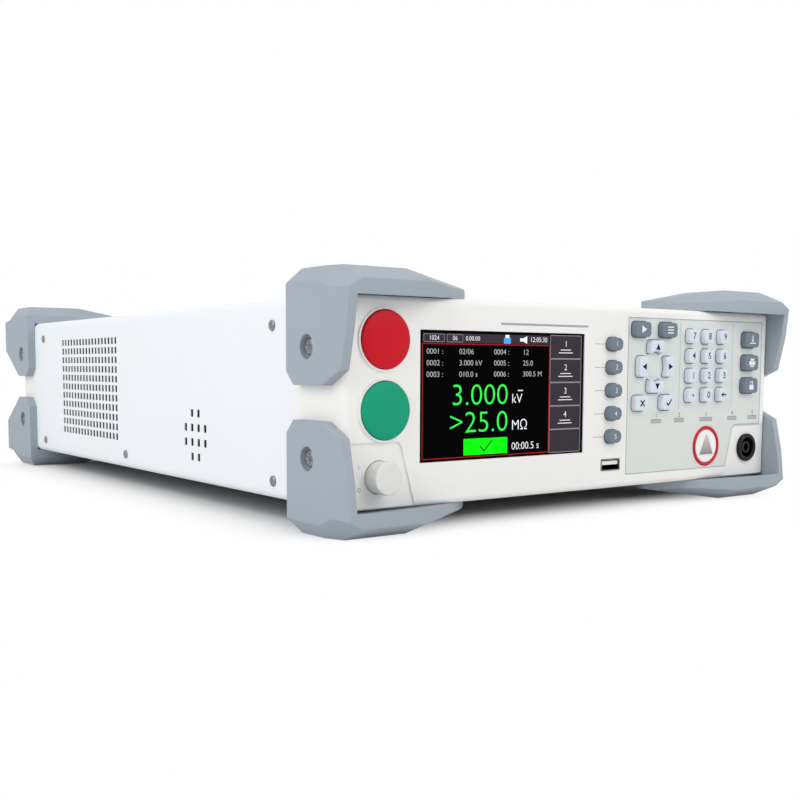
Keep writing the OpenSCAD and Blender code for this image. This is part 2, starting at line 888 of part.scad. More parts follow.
// Moulded frame round the rear panel
module rear_frame() {
    color("whitesmoke")
        translate([0, rear_y, mid_z])
            difference() {
                union() {
                    slab(-rear_d, 0)
                        difference() {
                            round_rect(body_w, body_h, edge_r);
                            round_rect(inner_w, inner_h, edge_r - bezel_wall);
                        }
                    slab(-panel_set - panel_t - 2.5, -panel_set - panel_t)
                        difference() {
                            round_rect(body_w - 2, body_h - 2, edge_r - 1);
                            square([inner_w - 8, inner_h - 8], center = true);
                        }
                    translate([0, -rear_y, -mid_z])
                        guard_screw_spots(rear_y - guard_screw_rear[0], guard_screw_rear[1])
                            translate([0, 0, -bezel_wall - boss_l])
                                cylinder(r = boss_r, h = boss_l + bezel_wall / 2);
                }
                slab(-rear_d - over, tray_overlap - rear_d)
                    round_rect(body_w - 2 * sheet_t, body_h - 2 * sheet_t, edge_r - sheet_t);
                translate([0, -rear_y, -mid_z])
                    guard_screw_spots(rear_y - guard_screw_rear[0], guard_screw_rear[1])
                        translate([0, 0, -bezel_wall - boss_l - over])
                            cylinder(r = guard_screw_r + screw_clear, h = bezel_wall + boss_l + 2 * over);
            }
}

// Sheet panel with a ring grille for the fan and cut-outs for the sockets
module rear_panel() {
    color("silver")
        translate([0, 0, mid_z])
            slab(panel_y0, panel_y1)
                difference() {
                    round_rect(inner_w, inner_h, edge_r);
                    for (p = fan_holes)
                        translate([fan_x + p[0], p[1]])
                            circle(cover_screw_r + screw_clear);
                    translate([fan_x, 0])
                        difference() {
                            for (i = [0:2])
                                difference() {
                                    circle(fan_r - 1 - 6 * i);
                                    circle(fan_r - 5 - 6 * i);
                                }
                            for (a = [45, 135])
                                rotate(a)
                                    square([2 * fan_size, 4], center = true);
                        }
                    translate([inlet_x, inlet_z])
                        square([inlet_w + key_gap, inlet_h + key_gap], center = true);
                    for (x = port_x)
                        translate([x, port_z - mid_z])
                            round_rect(port_w + 2 * key_gap, port_h + 2 * key_gap, 2);
                    translate([earth_x, earth_z])
                        circle(earth_r + screw_clear);
                }
}

// All that lies above the sloped plane through three points
module above(a, b, c) {
    n0 = cross(b - a, c - a);
    n = n0[2] < 0 ? -n0 : n0;
    translate(a)
        rotate([0, acos(n[2] / norm(n)), atan2(n[1], n[0])])
            translate([-body_w / 2, -body_w / 2, 0])
                cube([body_w, body_w, body_h]);
}

// One guard of the right upper corner. Depth s runs inwards from the case end, z up from mid height.
// It is an arm over the case, a leg down its side and a raised pad, all with flat moulded facets.
module guard_solid(lip, span, tip, inner, leg, screw) {
    face_z = half_h - 1.2;
    arm_z = face_z + arm_face;
    pad_z = half_h + guard_pad;
    end_x = out_x - arm_reach;
    pad_x0 = out_x - pad_reach;
    pad_s0 = 14 - lip;
    pad_s1 = span - 6.5;
    outer = [[out_x, -lip], [out_x - arm_flat, -lip], [out_x - arm_bend, 2 - lip],
        [end_x + 13.5, tip - 13], [end_x, tip]];
    corner_x = out_x - 7.2;
    corner = [corner_x, -lip, arm_z];
    corner_low = [out_x, 11.2 - lip, face_z + 2.9];
    difference() {
        union() {
            intersection() {
                translate([0, 0, face_z])
                    linear_extrude(pad_z - face_z)
                        polygon(concat(outer, inner, [[out_x, span]]));
                side_slab(0, out_x)
                    polygon([[-lip, face_z], [-lip, arm_z], [pad_s0, pad_z], [pad_s1, pad_z],
                        [span, arm_z], [span, face_z]]);
                slab(-lip, span)
                    polygon([[end_x, face_z], [end_x, arm_z - 0.6], [pad_x0, pad_z], [out_x - 4, pad_z],
                        [out_x, arm_z], [out_x, face_z]]);
            }
            side_slab(half_w, out_x)
                polygon(leg);
        }
        translate([0, 0, -half_h])
            cube([half_w, span + over, 2 * half_h]);
        // Slopes that rise from both edges of the arm to the pad
        above([out_x - arm_bend, 2 - lip, arm_z], [end_x, tip, arm_z], [pad_x0, pad_s0, pad_z]);
        above(concat(inner[len(inner) - 1], [arm_z]), concat(inner[0], [arm_z]), [pad_x0, pad_s1, pad_z]);
        // Facet across the outer corner
        intersection() {
            above(corner, [corner_x, pad_s0, pad_z], corner_low);
            above(corner, [corner_x, 0, arm_z], [out_x, 0, corner_low[2]]);
        }
        // Shallow facet that draws the outer side in towards the lip
        translate([0, 0, -pad_z])
            linear_extrude(2 * pad_z)
                polygon([[out_x, 4], [out_x - guard_taper, -lip], [out_x - guard_taper, -lip - over],
                    [out_x + over, -lip - over], [out_x + over, 4]]);
        translate([half_w, screw[0], screw[1]])
            rotate([0, 90, 0]) {
                translate([0, 0, guard_side - guard_recess_d])
                    cylinder(r = guard_recess_r, h = guard_recess_d + over);
                translate([0, 0, -over])
                    cylinder(r = guard_screw_r + screw_clear, h = guard_side);
            }
    }
}

// Inner edge of the arm plan, from the arm end to the outer side
front_tip = front_span / 2 + 0.25;
front_inner = [[out_x - arm_reach, front_tip + 4], [out_x - pad_reach, front_span]];
rear_tip = 0;
rear_inner = [[out_x - arm_reach, rear_tip + 4.5], [out_x - arm_reach + 13.5, rear_tip + 17.5],
    [out_x - arm_bend, rear_span - 2], [out_x - arm_flat, rear_span]];

function front_leg() = let (low = front_guard_gap / 2, top = half_h + 1)
    [[front_span, top], [front_span, low + 5.5], [front_span - 5.5, low], [12.9 - front_lip, low],
     [1.4 - front_lip, low + 8.9], [-front_lip, low + 23.9], [-front_lip, top]];

function rear_leg() = let (low = rear_guard_gap / 2, top = half_h + 1)
    [[rear_span, top], [rear_span, low + 6], [rear_span - 7, low], [rear_span - 22.9, low],
     [-rear_lip, low + 18], [-rear_lip, top]];

// Front guards are drawn from the front face, rear guards from the rear face turned about
module guard(g) {
    front = g[1] == "front";
    color("lightsteelblue")
        translate([0, front ? front_y : rear_y, mid_z])
            mirror([g[2] ? 1 : 0, 0, 0])
                mirror([0, front ? 0 : 1, 0])
                    mirror([0, 0, g[3] ? 1 : 0])
                        if (front)
                            guard_solid(front_lip, front_span, front_tip, front_inner, front_leg(),
                                guard_screw_front);
                        else
                            guard_solid(rear_lip, rear_span, rear_tip, rear_inner, rear_leg(),
                                guard_screw_rear);
}

// Pan head screw with its head on the plane z = 0 and its shank along -Z
module pan_screw(r, head_r, head_h, l) {
    rotate_extrude()
        polygon([[0, -l], [r, -l], [r, 0], [head_r, 0], [head_r, head_h * 0.5],
            [head_r * 0.7, head_h], [0, head_h]]);
}

module guard_screws() {
    seat = guard_side - guard_recess_d;
    ends = [[front_y + guard_screw_front[0], guard_screw_front[1]],
        [rear_y - guard_screw_rear[0], guard_screw_rear[1]]];
    color("silver")
        for (e = ends)
            guard_screw_spots(e[0], e[1])
                translate([0, 0, seat])
                    pan_screw(guard_screw_r, guard_head_r, guard_head_h, seat + bezel_wall + boss_l - 0.5);
}

// Cover screws, and the same screws that hold the fan against the rear panel
module case_screws() {
    color("silver") {
        cover_screw_spots()
            pan_screw(cover_screw_r, cover_head_r, cover_head_h, 2 * sheet_t + 3);
        for (p = fan_holes)
            translate([fan_x + p[0], panel_y1, mid_z + p[1]])
                rotate([-90, 0, 0])
                    pan_screw(cover_screw_r, cover_head_r, cover_head_h, 2 * sheet_t + 3);
    }
}

// Square fan housing with a motor plate on three arms, standing against the rear panel
module fan_frame() {
    arm_w = 4;
    color("dimgray")
        translate([fan_x, panel_y0, mid_z]) {
            slab(-fan_d, 0)
                difference() {
                    round_rect(fan_size, fan_size, 4);
                    circle(fan_r, $fn = 96);
                    for (p = fan_holes)
                        translate(p)
                            circle(cover_screw_r + screw_clear);
                }
            slab(-fan_d, motor_plate - fan_d)
                difference() {
                    union() {
                        circle(hub_r);
                        for (a = [30, 150, 270])
                            rotate(a)
                                translate([0, -arm_w / 2])
                                    square([fan_r + 0.5, arm_w]);
                    }
                    circle(spindle_r + key_gap);
                }
        }
}

// Fan wheel: hub, spindle and pitched blades
module fan_rotor() {
    gap = 0.3;
    blade_t = 1.6;
    blade_l = 30;
    blade_pitch = 40;
    color("black")
        translate([fan_x, panel_y0, mid_z]) {
            slab(motor_plate + gap - fan_d, -2)
                circle(hub_r, $fn = 96);
            slab(-fan_d, motor_plate + gap - fan_d)
                circle(spindle_r);
            intersection() {
                slab(motor_plate + 1 - fan_d, -2.5)
                    circle(rotor_r, $fn = 96);
                for (i = [0:fan_blades - 1])
                    rotate([0, 360 / fan_blades * i, 0])
                        translate([hub_r - 1, -fan_d / 2, 0])
                            rotate([blade_pitch, 0, 0])
                                translate([0, -blade_l / 2, -blade_t / 2])
                                    cube([rotor_r, blade_l, blade_t]);
            }
        }
}

// Mains inlet: moulded socket with a flange outside the panel and three flat pins
module mains_inlet() {
    depth = 20;
    flange = 3;
    flange_t = 2;
    pin = [2, 4];
    color("black")
        translate([inlet_x, panel_y1, mid_z + inlet_z]) {
            difference() {
                union() {
                    slab(-depth, flange_t)
                        square([inlet_w, inlet_h], center = true);
                    slab(0, flange_t)
                        round_rect(inlet_w + 2 * flange, inlet_h + 2 * flange, flange);
                }
                slab(3 - depth, flange_t + over)
                    polygon([[-12, -8], [12, -8], [12, 4], [8, 8], [-8, 8], [-12, 4]]);
            }
            for (p = [[-7, -2], [7, -2], [0, 2]])
                slab(2.5 - depth, -5)
                    translate(p)
                        square(pin, center = true);
        }
}

// Earth terminal: threaded stud through the panel with a knurled hand nut and a fixing nut
module earth_terminal() {
    nut_r = 4;
    nut_t = 3;
    knob_r = 5;
    knob_l = 6.5;
    knob_gap = 0.5;
    color("goldenrod")
        translate([earth_x, 0, mid_z + earth_z]) {
            slab(panel_y0 - 8, panel_y1 + 14)
                circle(earth_r);
            slab(panel_y1, panel_y1 + nut_t)
                circle(nut_r, $fn = 6);
            slab(panel_y1 + nut_t + knob_gap, panel_y1 + nut_t + knob_gap + knob_l)
                circle(knob_r, $fn = 24);
            slab(panel_y0 - nut_t, panel_y0)
                circle(nut_r, $fn = 6);
        }
}

// Main circuit board on the tray studs, with two rear ports, a heat sink and parts
module main_board() {
    fin_pitch = (sink_w - fin_t) / (sink_fins - 1);
    cap_x = pcb_x0 + pcb_w - cap_side - cap_r;
    port_body = [31, 13];
    port_body_d = 10;
    port_proud = 4;
    sink_side = 10;
    sink_front = 20;
    color("seagreen") {
        translate([pcb_x0, pcb_y1 - pcb_d, pcb_z])
            cube([pcb_w, pcb_d, board_t]);
        for (x = port_x)
            translate([x, 0, port_z]) {
                slab(panel_y0 - port_body_d, panel_y0)
                    square(port_body, center = true);
                slab(panel_y0 - over, panel_y1 + port_proud)
                    round_rect(port_w, port_h, 2);
            }
        translate([pcb_x0 + sink_side, pcb_y1 - pcb_d + sink_front, pcb_z + board_t]) {
            cube([sink_w, sink_d, sink_base]);
            for (i = [0:sink_fins - 1])
                translate([i * fin_pitch, 0, 0])
                    cube([fin_t, sink_d, sink_h]);
        }
        for (i = [0:2])
            translate([cap_x, pcb_y1 - pcb_d + cap_front + cap_pitch * i, pcb_z + board_t])
                cylinder(r = cap_r, h = cap_h);
    }
}

// High voltage transformer: framed core with a winding through its two windows
module transformer() {
    leg_w = core_leg;
    color("darkgoldenrod")
        translate([core_x, core_y, floor_z]) {
            side_slab(-core_w / 2, core_w / 2)
                difference() {
                    translate([-core_d / 2, 0])
                        square([core_d, core_h]);
                    for (s = [-1, 1])
                        translate([s * (core_d / 4 - leg_w / 8), core_h / 2])
                            square([core_d / 2 - 1.25 * leg_w, core_h - 2 * leg_w], center = true);
                }
            translate([0, 0, leg_w])
                linear_extrude(core_h - 2 * leg_w)
                    difference() {
                        round_rect(core_w + 2 * winding_side, core_d - 2 * leg_w, 8);
                        square([core_w, leg_w * 0.75], center = true);
                    }
        }
}

front_bezel();
keypad_overlay();
display_window();
display_module();
front_board();
warning_lamp();
status_lamps();
usb_socket();
output_jack();
top_cover();
base_tray();
rear_frame();
rear_panel();
guard_screws();
case_screws();
fan_frame();
fan_rotor();
mains_inlet();
earth_terminal();
main_board();
transformer();
stop_button();
start_button();
power_button();
for (g = GUARDS)
    guard(g);
for (k = KEYS)
    key(k);
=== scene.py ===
import json
import math

import bmesh
import bpy
import numpy as np
from mathutils import Matrix, Vector

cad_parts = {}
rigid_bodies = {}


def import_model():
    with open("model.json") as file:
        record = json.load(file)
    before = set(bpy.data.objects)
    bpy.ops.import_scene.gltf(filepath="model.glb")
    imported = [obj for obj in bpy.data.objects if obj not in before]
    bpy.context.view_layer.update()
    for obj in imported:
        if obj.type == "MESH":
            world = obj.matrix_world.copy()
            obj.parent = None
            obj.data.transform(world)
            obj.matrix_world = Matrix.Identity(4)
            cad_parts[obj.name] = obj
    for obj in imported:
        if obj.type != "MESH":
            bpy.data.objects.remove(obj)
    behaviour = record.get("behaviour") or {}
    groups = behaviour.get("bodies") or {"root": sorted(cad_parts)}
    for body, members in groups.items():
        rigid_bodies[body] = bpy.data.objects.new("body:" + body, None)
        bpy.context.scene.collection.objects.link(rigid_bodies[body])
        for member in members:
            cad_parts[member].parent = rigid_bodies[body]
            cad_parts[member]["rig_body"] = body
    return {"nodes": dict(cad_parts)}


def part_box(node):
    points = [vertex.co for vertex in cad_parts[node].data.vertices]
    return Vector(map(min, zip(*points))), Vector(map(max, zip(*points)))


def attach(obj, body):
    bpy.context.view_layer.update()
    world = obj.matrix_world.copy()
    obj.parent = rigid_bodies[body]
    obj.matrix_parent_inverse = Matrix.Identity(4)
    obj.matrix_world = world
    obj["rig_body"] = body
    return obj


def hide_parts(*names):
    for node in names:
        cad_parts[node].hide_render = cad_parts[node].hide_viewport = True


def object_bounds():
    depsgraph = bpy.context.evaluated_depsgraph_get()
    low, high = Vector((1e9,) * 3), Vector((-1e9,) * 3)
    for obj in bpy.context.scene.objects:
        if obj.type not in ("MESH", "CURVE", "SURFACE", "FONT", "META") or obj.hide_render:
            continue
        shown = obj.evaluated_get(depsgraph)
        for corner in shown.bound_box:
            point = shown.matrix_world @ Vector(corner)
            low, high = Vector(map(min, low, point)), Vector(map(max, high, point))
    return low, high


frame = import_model()
cad_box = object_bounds()


# Camera. It stands close to the front left corner, a little above the middle of the case,
# so that the panel runs away to the right and the long side to the left.
# The lens is shifted because the picture shows the object above the line of sight.
def put(name, data):
    """New object in the scene."""
    made = bpy.data.objects.new(name, data)
    bpy.context.scene.collection.objects.link(made)
    return made


MM = 0.001
face_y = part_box("keypad_overlay")[0].y
mid_z = (cad_box[0].z + cad_box[1].z) / 2
camera_yaw, camera_pitch, camera_roll = np.radians((35.446, 5.058, 0.128))
camera_lens = bpy.data.cameras.new("camera")
camera_lens.sensor_width = 36
camera_lens.lens = 47.146
camera_lens.shift_x = 0.02577
camera_lens.shift_y = 0.07275
camera = put("camera", camera_lens)
camera.location = (-365.79 * MM, face_y - 344.30 * MM, 70.25 * MM)
camera_turn = (Matrix.Rotation(-camera_yaw, 3, "Z") @ Matrix.Rotation(math.pi / 2 - camera_pitch, 3, "X")
               @ Matrix.Rotation(camera_roll, 3, "Z"))
camera.rotation_euler = camera_turn.to_euler()
scene = bpy.context.scene
scene.camera = camera
scene.view_settings.view_transform = "Standard"


# Floor and light. A pale sheet that runs out into white and keeps a dark shadow close to the object,
# a white surround, a large soft light at the left, a weaker one in front and one overhead.
def tint(red, green, blue):
    """Screen colour from 0 to 255 as linear light: the sRGB curve, channel by channel."""
    share = np.array([red, green, blue]) / 255
    linear = np.where(share <= 0.04045, share / 12.92, ((share + 0.055) / 1.055) ** 2.4)
    return (*linear, 1.0)


def seen_ray(nodes, links):
    """1 for rays that show the background in the picture: camera, mirror and glass rays."""
    path = nodes.new("ShaderNodeLightPath")
    source = path.outputs["Is Camera Ray"]
    for kind in ("Is Glossy Ray", "Is Transmission Ray"):
        either = nodes.new("ShaderNodeMath")
        either.operation = "MAXIMUM"
        links.new(source, either.inputs[0])
        links.new(path.outputs[kind], either.inputs[1])
        source = either.outputs[0]
    return source


def beyond_box(nodes, links, centre, half):
    """Distance from a box along the axes, on the piece's own coordinates; 0 inside it."""
    place = nodes.new("ShaderNodeTexCoord")
    source = place.outputs["Object"]
    steps = (("SUBTRACT", centre), ("ABSOLUTE", None), ("SUBTRACT", half), ("MAXIMUM", (0, 0, 0)))
    for operation, value in steps:
        step = nodes.new("ShaderNodeVectorMath")
        step.operation = operation
        links.new(source, step.inputs[0])
        if value is not None:
            step.inputs[1].default_value = value
        source = step.outputs["Vector"]
    size = nodes.new("ShaderNodeVectorMath")
    size.operation = "LENGTH"
    links.new(source, size.inputs[0])
    return size.outputs["Value"]


surround = bpy.data.worlds.new("surround")
surround.use_nodes = True
scene.world = surround
nodes, links = surround.node_tree.nodes, surround.node_tree.links
nodes.clear()
room = nodes.new("ShaderNodeBackground")
room.inputs["Color"].default_value = (0.98, 0.985, 1.0, 1)
room.inputs["Strength"].default_value = 0.38
white = nodes.new("ShaderNodeBackground")
white.inputs["Color"].default_value = (1, 1, 1, 1)
either = nodes.new("ShaderNodeMixShader")
output = nodes.new("ShaderNodeOutputWorld")
links.new(seen_ray(nodes, links), either.inputs["Fac"])
links.new(room.outputs[0], either.inputs[1])
links.new(white.outputs[0], either.inputs[2])
links.new(either.outputs[0], output.inputs["Surface"])

floor_half = 6.0
floor_mesh = bpy.data.meshes.new("floor")
floor_signs = ((-1, -1), (1, -1), (1, 1), (-1, 1))
floor_mesh.from_pydata([(sx * floor_half, sy * floor_half, 0) for sx, sy in floor_signs], [], [(0, 1, 2, 3)])
floor = put("floor", floor_mesh)
floor_finish = bpy.data.materials.new("floor_sheet")
floor_finish.use_nodes = True
nodes, links = floor_finish.node_tree.nodes, floor_finish.node_tree.links
nodes.clear()
sheet = nodes.new("ShaderNodeBsdfDiffuse")
sheet.inputs["Color"].default_value = (0.85, 0.85, 0.85, 1)
glow = nodes.new("ShaderNodeEmission")
fade = nodes.new("ShaderNodeMapRange")
fade.interpolation_type = "SMOOTHSTEP"
fade.inputs["From Max"].default_value = 0.055
share = nodes.new("ShaderNodeMath")
share.operation = "MULTIPLY"
both = nodes.new("ShaderNodeMixShader")
output = nodes.new("ShaderNodeOutputMaterial")
dark_inset = Vector((0.025, 0.05, 0))
footprint = ((cad_box[0] + cad_box[1]) / 2, (cad_box[1] - cad_box[0]) / 2 - dark_inset)
links.new(beyond_box(nodes, links, *footprint), fade.inputs["Value"])
links.new(seen_ray(nodes, links), share.inputs[0])
links.new(fade.outputs["Result"], share.inputs[1])
links.new(share.outputs[0], both.inputs["Fac"])
links.new(sheet.outputs[0], both.inputs[1])
links.new(glow.outputs[0], both.inputs[2])
links.new(both.outputs[0], output.inputs["Surface"])
floor_mesh.materials.append(floor_finish)

lights = {
    "left_softbox": ((-1.9, -0.35, 1.15), 1.6, 24.0),
    "front_softbox": ((0.75, -1.9, 1.3), 1.5, 21.5),
    "top_softbox": ((0.0, 0.3, 1.9), 2.0, 9.0),
}
lit_spot = Vector((0, 0, 0.05))
for name, (place, width, power) in lights.items():
    lamp = bpy.data.lights.new(name, "AREA")
    lamp.shape = "SQUARE"
    lamp.size = width
    lamp.energy = power
    holder = put(name, lamp)
    holder.location = place
    holder.rotation_euler = (lit_spot - Vector(place)).to_track_quat("-Z", "Y").to_euler()


# Top cover. A folded steel sheet with punched vents, powder coated outside in a cool white
# that has a very fine tooth; its inner faces are coloured dark grey as painted shade. It is screwed to the
# tray along its foot.
def grain_group():
    """Two noises over the piece's own coordinates: a fine one for tooth, a broad one for drift of tone."""
    group = bpy.data.node_groups.new("grain", "ShaderNodeTree")
    for size in ("Fine", "Broad"):
        group.interface.new_socket(size + " Scale", in_out="INPUT", socket_type="NodeSocketFloat")
        group.interface.new_socket(size, in_out="OUTPUT", socket_type="NodeSocketFloat")
    inner, wires = group.nodes, group.links
    given = inner.new("NodeGroupInput")
    result = inner.new("NodeGroupOutput")
    place = inner.new("ShaderNodeTexCoord")
    for size, detail in (("Fine", 2.0), ("Broad", 3.0)):
        noise = inner.new("ShaderNodeTexNoise")
        noise.inputs["Detail"].default_value = detail
        wires.new(place.outputs["Object"], noise.inputs["Vector"])
        wires.new(given.outputs[size + " Scale"], noise.inputs["Scale"])
        wires.new(noise.outputs["Fac"], result.inputs[size])
    return group


grain = grain_group()


def finish(name, colour, rough, fine=2200.0, drift=0.02, bump=0.05, metallic=0.0, stretch=None, glow=0.0,
           mirror=0.5):
    """Surface whose tone drifts a little, with a fine tooth in its roughness and relief.
    A stretch along one axis turns the tooth into brush marks, glow lights the colour itself,
    and mirror is the strength of the reflection on its skin."""
    made = bpy.data.materials.new(name)
    made.use_nodes = True
    tree, wires = made.node_tree.nodes, made.node_tree.links
    shader = tree["Principled BSDF"]
    shader.inputs["Metallic"].default_value = metallic
    shader.inputs["Specular IOR Level"].default_value = mirror
    tooth = tree.new("ShaderNodeGroup")
    tooth.node_tree = grain
    tooth.inputs["Fine Scale"].default_value = fine
    tooth.inputs["Broad Scale"].default_value = 18.0
    fine_out = tooth.outputs["Fine"]
    if stretch:
        place = tree.new("ShaderNodeTexCoord")
        squeeze = tree.new("ShaderNodeMapping")
        squeeze.inputs["Scale"].default_value = stretch
        brush = tree.new("ShaderNodeTexNoise")
        brush.inputs["Scale"].default_value = fine
        brush.inputs["Detail"].default_value = 4.0
        wires.new(place.outputs["Object"], squeeze.inputs["Vector"])
        wires.new(squeeze.outputs["Vector"], brush.inputs["Vector"])
        fine_out = brush.outputs["Fac"]
    tone = tree.new("ShaderNodeMix")
    tone.name = "tone"
    tone.data_type = "RGBA"
    base = np.array(tint(*colour)[:3])
    tone.inputs["A"].default_value = (*(base * (1 - drift)), 1)
    tone.inputs["B"].default_value = (*np.minimum(base * (1 + drift), 1), 1)
    wires.new(tooth.outputs["Broad"], tone.inputs["Factor"])
    wires.new(tone.outputs["Result"], shader.inputs["Base Color"])
    sheen = tree.new("ShaderNodeMapRange")
    sheen.inputs["From Min"].default_value = 0.3
    sheen.inputs["From Max"].default_value = 0.7
    sheen.inputs["To Min"].default_value = rough * 0.85
    sheen.inputs["To Max"].default_value = min(rough * 1.15, 1.0)
    wires.new(fine_out, sheen.inputs["Value"])
    wires.new(sheen.outputs["Result"], shader.inputs["Roughness"])
    relief = tree.new("ShaderNodeBump")
    relief.inputs["Strength"].default_value = bump
    relief.inputs["Distance"].default_value = 0.1 * MM
    wires.new(fine_out, relief.inputs["Height"])
    wires.new(relief.outputs["Normal"], shader.inputs["Normal"])
    if glow:
        wires.new(tone.outputs["Result"], shader.inputs["Emission Color"])
        shader.inputs["Emission Strength"].default_value = glow
    return made


def second_colour(made, source, low, high, at_low, at_high):
    """Lets a measured value carry the surface from its own tone to another colour.
    Below low the colour is at_low and above high it is at_high; None stands for the tone it has."""
    tree, wires = made.node_tree.nodes, made.node_tree.links
    ramp = tree.new("ShaderNodeMapRange")
    ramp.inputs["From Min"].default_value = low
    ramp.inputs["From Max"].default_value = high
    blend = tree.new("ShaderNodeMix")
    blend.data_type = "RGBA"
    wires.new(source, ramp.inputs["Value"])
    wires.new(ramp.outputs["Result"], blend.inputs["Factor"])
    for socket, colour in (("A", at_low), ("B", at_high)):
        if colour is None:
            wires.new(tree["tone"].outputs["Result"], blend.inputs[socket])
        else:
            blend.inputs[socket].default_value = tint(*colour)
    wires.new(blend.outputs["Result"], tree["Principled BSDF"].inputs["Base Color"])


def points_of(mesh):
    """All points of a mesh as one array."""
    flat = np.empty(3 * len(mesh.vertices))
    mesh.vertices.foreach_get("co", flat)
    return flat.reshape(-1, 3)


def dress(node, material, roll=0.0, segments=2, turn=28, reshape=None, rim=None, rim_roll=0.0):
    """Copy of a solid: triangles welded, flat faces joined, and each edge that turns more than turn degrees
    rolled over by roll, or by rim_roll where both its ends are points that rim picks.
    A reshape takes the points first and gives them back moved. The copy stands for the solid."""
    weld_gap, flat_turn = 0.002 * MM, math.radians(0.4)
    mesh = frame["nodes"][node].data.copy()
    if reshape:
        mesh.vertices.foreach_set("co", reshape(points_of(mesh)).ravel())
    welded = bmesh.new()
    welded.from_mesh(mesh)
    bmesh.ops.remove_doubles(welded, verts=welded.verts, dist=weld_gap)
    bmesh.ops.dissolve_limit(welded, angle_limit=flat_turn, verts=welded.verts, edges=welded.edges)
    welded.to_mesh(mesh)
    welded.free()
    for layer in ("custom_normal", "sharp_face", "sharp_edge"):
        if layer in mesh.attributes:
            mesh.attributes.remove(mesh.attributes[layer])
    mesh.polygons.foreach_set("use_smooth", np.ones(len(mesh.polygons), bool))
    mesh.set_sharp_from_angle(angle=math.radians(turn))
    mesh.materials.clear()
    mesh.materials.append(material)
    piece = put(node + "_finished", mesh)
    if roll:
        pairs = np.empty(2 * len(mesh.edges), int)
        mesh.edges.foreach_get("vertices", pairs)
        sharp = np.empty(len(mesh.edges), bool)
        mesh.attributes["sharp_edge"].data.foreach_get("value", sharp)
        widest = max(roll, rim_roll)
        width = np.full(len(mesh.edges), roll)
        if rim:
            width[rim(points_of(mesh))[pairs.reshape(-1, 2)].all(axis=1)] = rim_roll
        weight = mesh.attributes.new("bevel_weight_edge", "FLOAT", "EDGE")
        weight.data.foreach_set("value", np.where(sharp, width / widest, 0))
        rounding = piece.modifiers.new("rolled_edges", "BEVEL")
        rounding.width = widest
        rounding.segments = segments
        rounding.limit_method = "WEIGHT"
        rounding.harden_normals = True
    body = frame["nodes"][node]["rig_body"]
    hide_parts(node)
    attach(piece, body)
    return piece


cover_paint = finish("cover_paint", (240, 243, 246), 0.6, fine=1800, drift=0.01, bump=0.04, mirror=0.15)
cover_low, cover_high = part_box("top_cover")
cover_half = (cover_high - cover_low) / 2
fold_r = 4 * MM
paint_depth = 0.4 * MM
inner_shade_blend = 0.1 * MM
tree, wires = cover_paint.node_tree.nodes, cover_paint.node_tree.links
depth = beyond_box(tree, wires, (cover_low + cover_high) / 2, cover_half - Vector((fold_r, 0, fold_r)))
paint_start = fold_r - paint_depth
# Painted shade: faces that lie deeper than the paint inside the outer skin take a dark grey, so the inside of
# the cover reads dim through the vents.
second_colour(cover_paint, depth, paint_start - inner_shade_blend, paint_start, (52, 54, 57), None)
screw_front = cover_low.y + 18 * MM
screw_mid = cover_high.y - 162 * MM
sounder_y = np.array([-90, -63]) * MM
sounder_shift = 5.4 * MM
fixed = 10 * MM


def sounder_forward(points):
    """The small field of slots moved forward: y runs through a broken line that is fixed at both screws."""
    stations = [screw_front + fixed, *sounder_y, screw_mid - fixed]
    moved = [screw_front + fixed, *(sounder_y - sounder_shift), screw_mid - fixed]
    between = (points[:, 1] > stations[0]) & (points[:, 1] < stations[-1])
    points[:, 1] = np.where(between, np.interp(points[:, 1], stations, moved), points[:, 1])
    return points


dress("top_cover", cover_paint, reshape=sounder_forward)


# Base tray. The folded floor of the case in bare zinc plated sheet, held inside the cover lips.
# Only its underside shows, with the faint spangle of the plating.
zinc = finish("zinc_sheet", (150, 154, 157), 0.38, fine=260, drift=0.06, bump=0.02, metallic=1.0)
dress("base_tray", zinc)


# Front bezel and rear frame. Injection moulded in warm white with a fine spark-eroded skin;
# all open edges are slightly rolled, as the tool leaves them.
def round_box(u, v, half_w, half_h, corner):
    """Distance to a rectangle with round corners, negative inside."""
    du = np.abs(u) - half_w + corner
    dv = np.abs(v) - half_h + corner
    return np.hypot(np.maximum(du, 0), np.maximum(dv, 0)) + np.minimum(np.maximum(du, dv), 0) - corner


def front_rim(points):
    """Picks the points on the outer outline of the front."""
    from_outline = round_box(points[:, 0], points[:, 2] - mid_z, cover_half.x, cover_half.z, fold_r)
    on_outline, rim_depth = 0.05 * MM, 0.3 * MM
    return (np.abs(from_outline) < on_outline) & (points[:, 1] < face_y + rim_depth)


moulding = finish("warm_white_moulding", (243, 242, 239), 0.42, fine=2600, drift=0.012, mirror=0.35)
bezel = dress("front_bezel", moulding, roll=0.25 * MM, segments=4, rim=front_rim, rim_roll=1.8 * MM)
dress("rear_frame", moulding, roll=0.4 * MM)


# Corner guards. Solid blue-grey elastomer mouldings with broad facets and soft edges, one at each corner;
# each is pulled against the case by one screw in a deep round recess.
frame_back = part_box("rear_frame")[1].y
lip_reach = face_y - cad_box[0].y
lip_drop = 0.9 * MM
lip_gap = 0.9 * MM
leg_level = np.array([7.2, 16.1, 42.3]) * MM
leg_moved = np.array([7.2, 13.3, 42.3]) * MM
leg_back = np.array([5.8, 4.3, 0.0]) * MM
side_lean = 1 / 14
lip_band = 1.3 * MM
edge_share = 0.05
root_share = 0.45
slack = 0.1 * MM
outer_step = 2 * MM


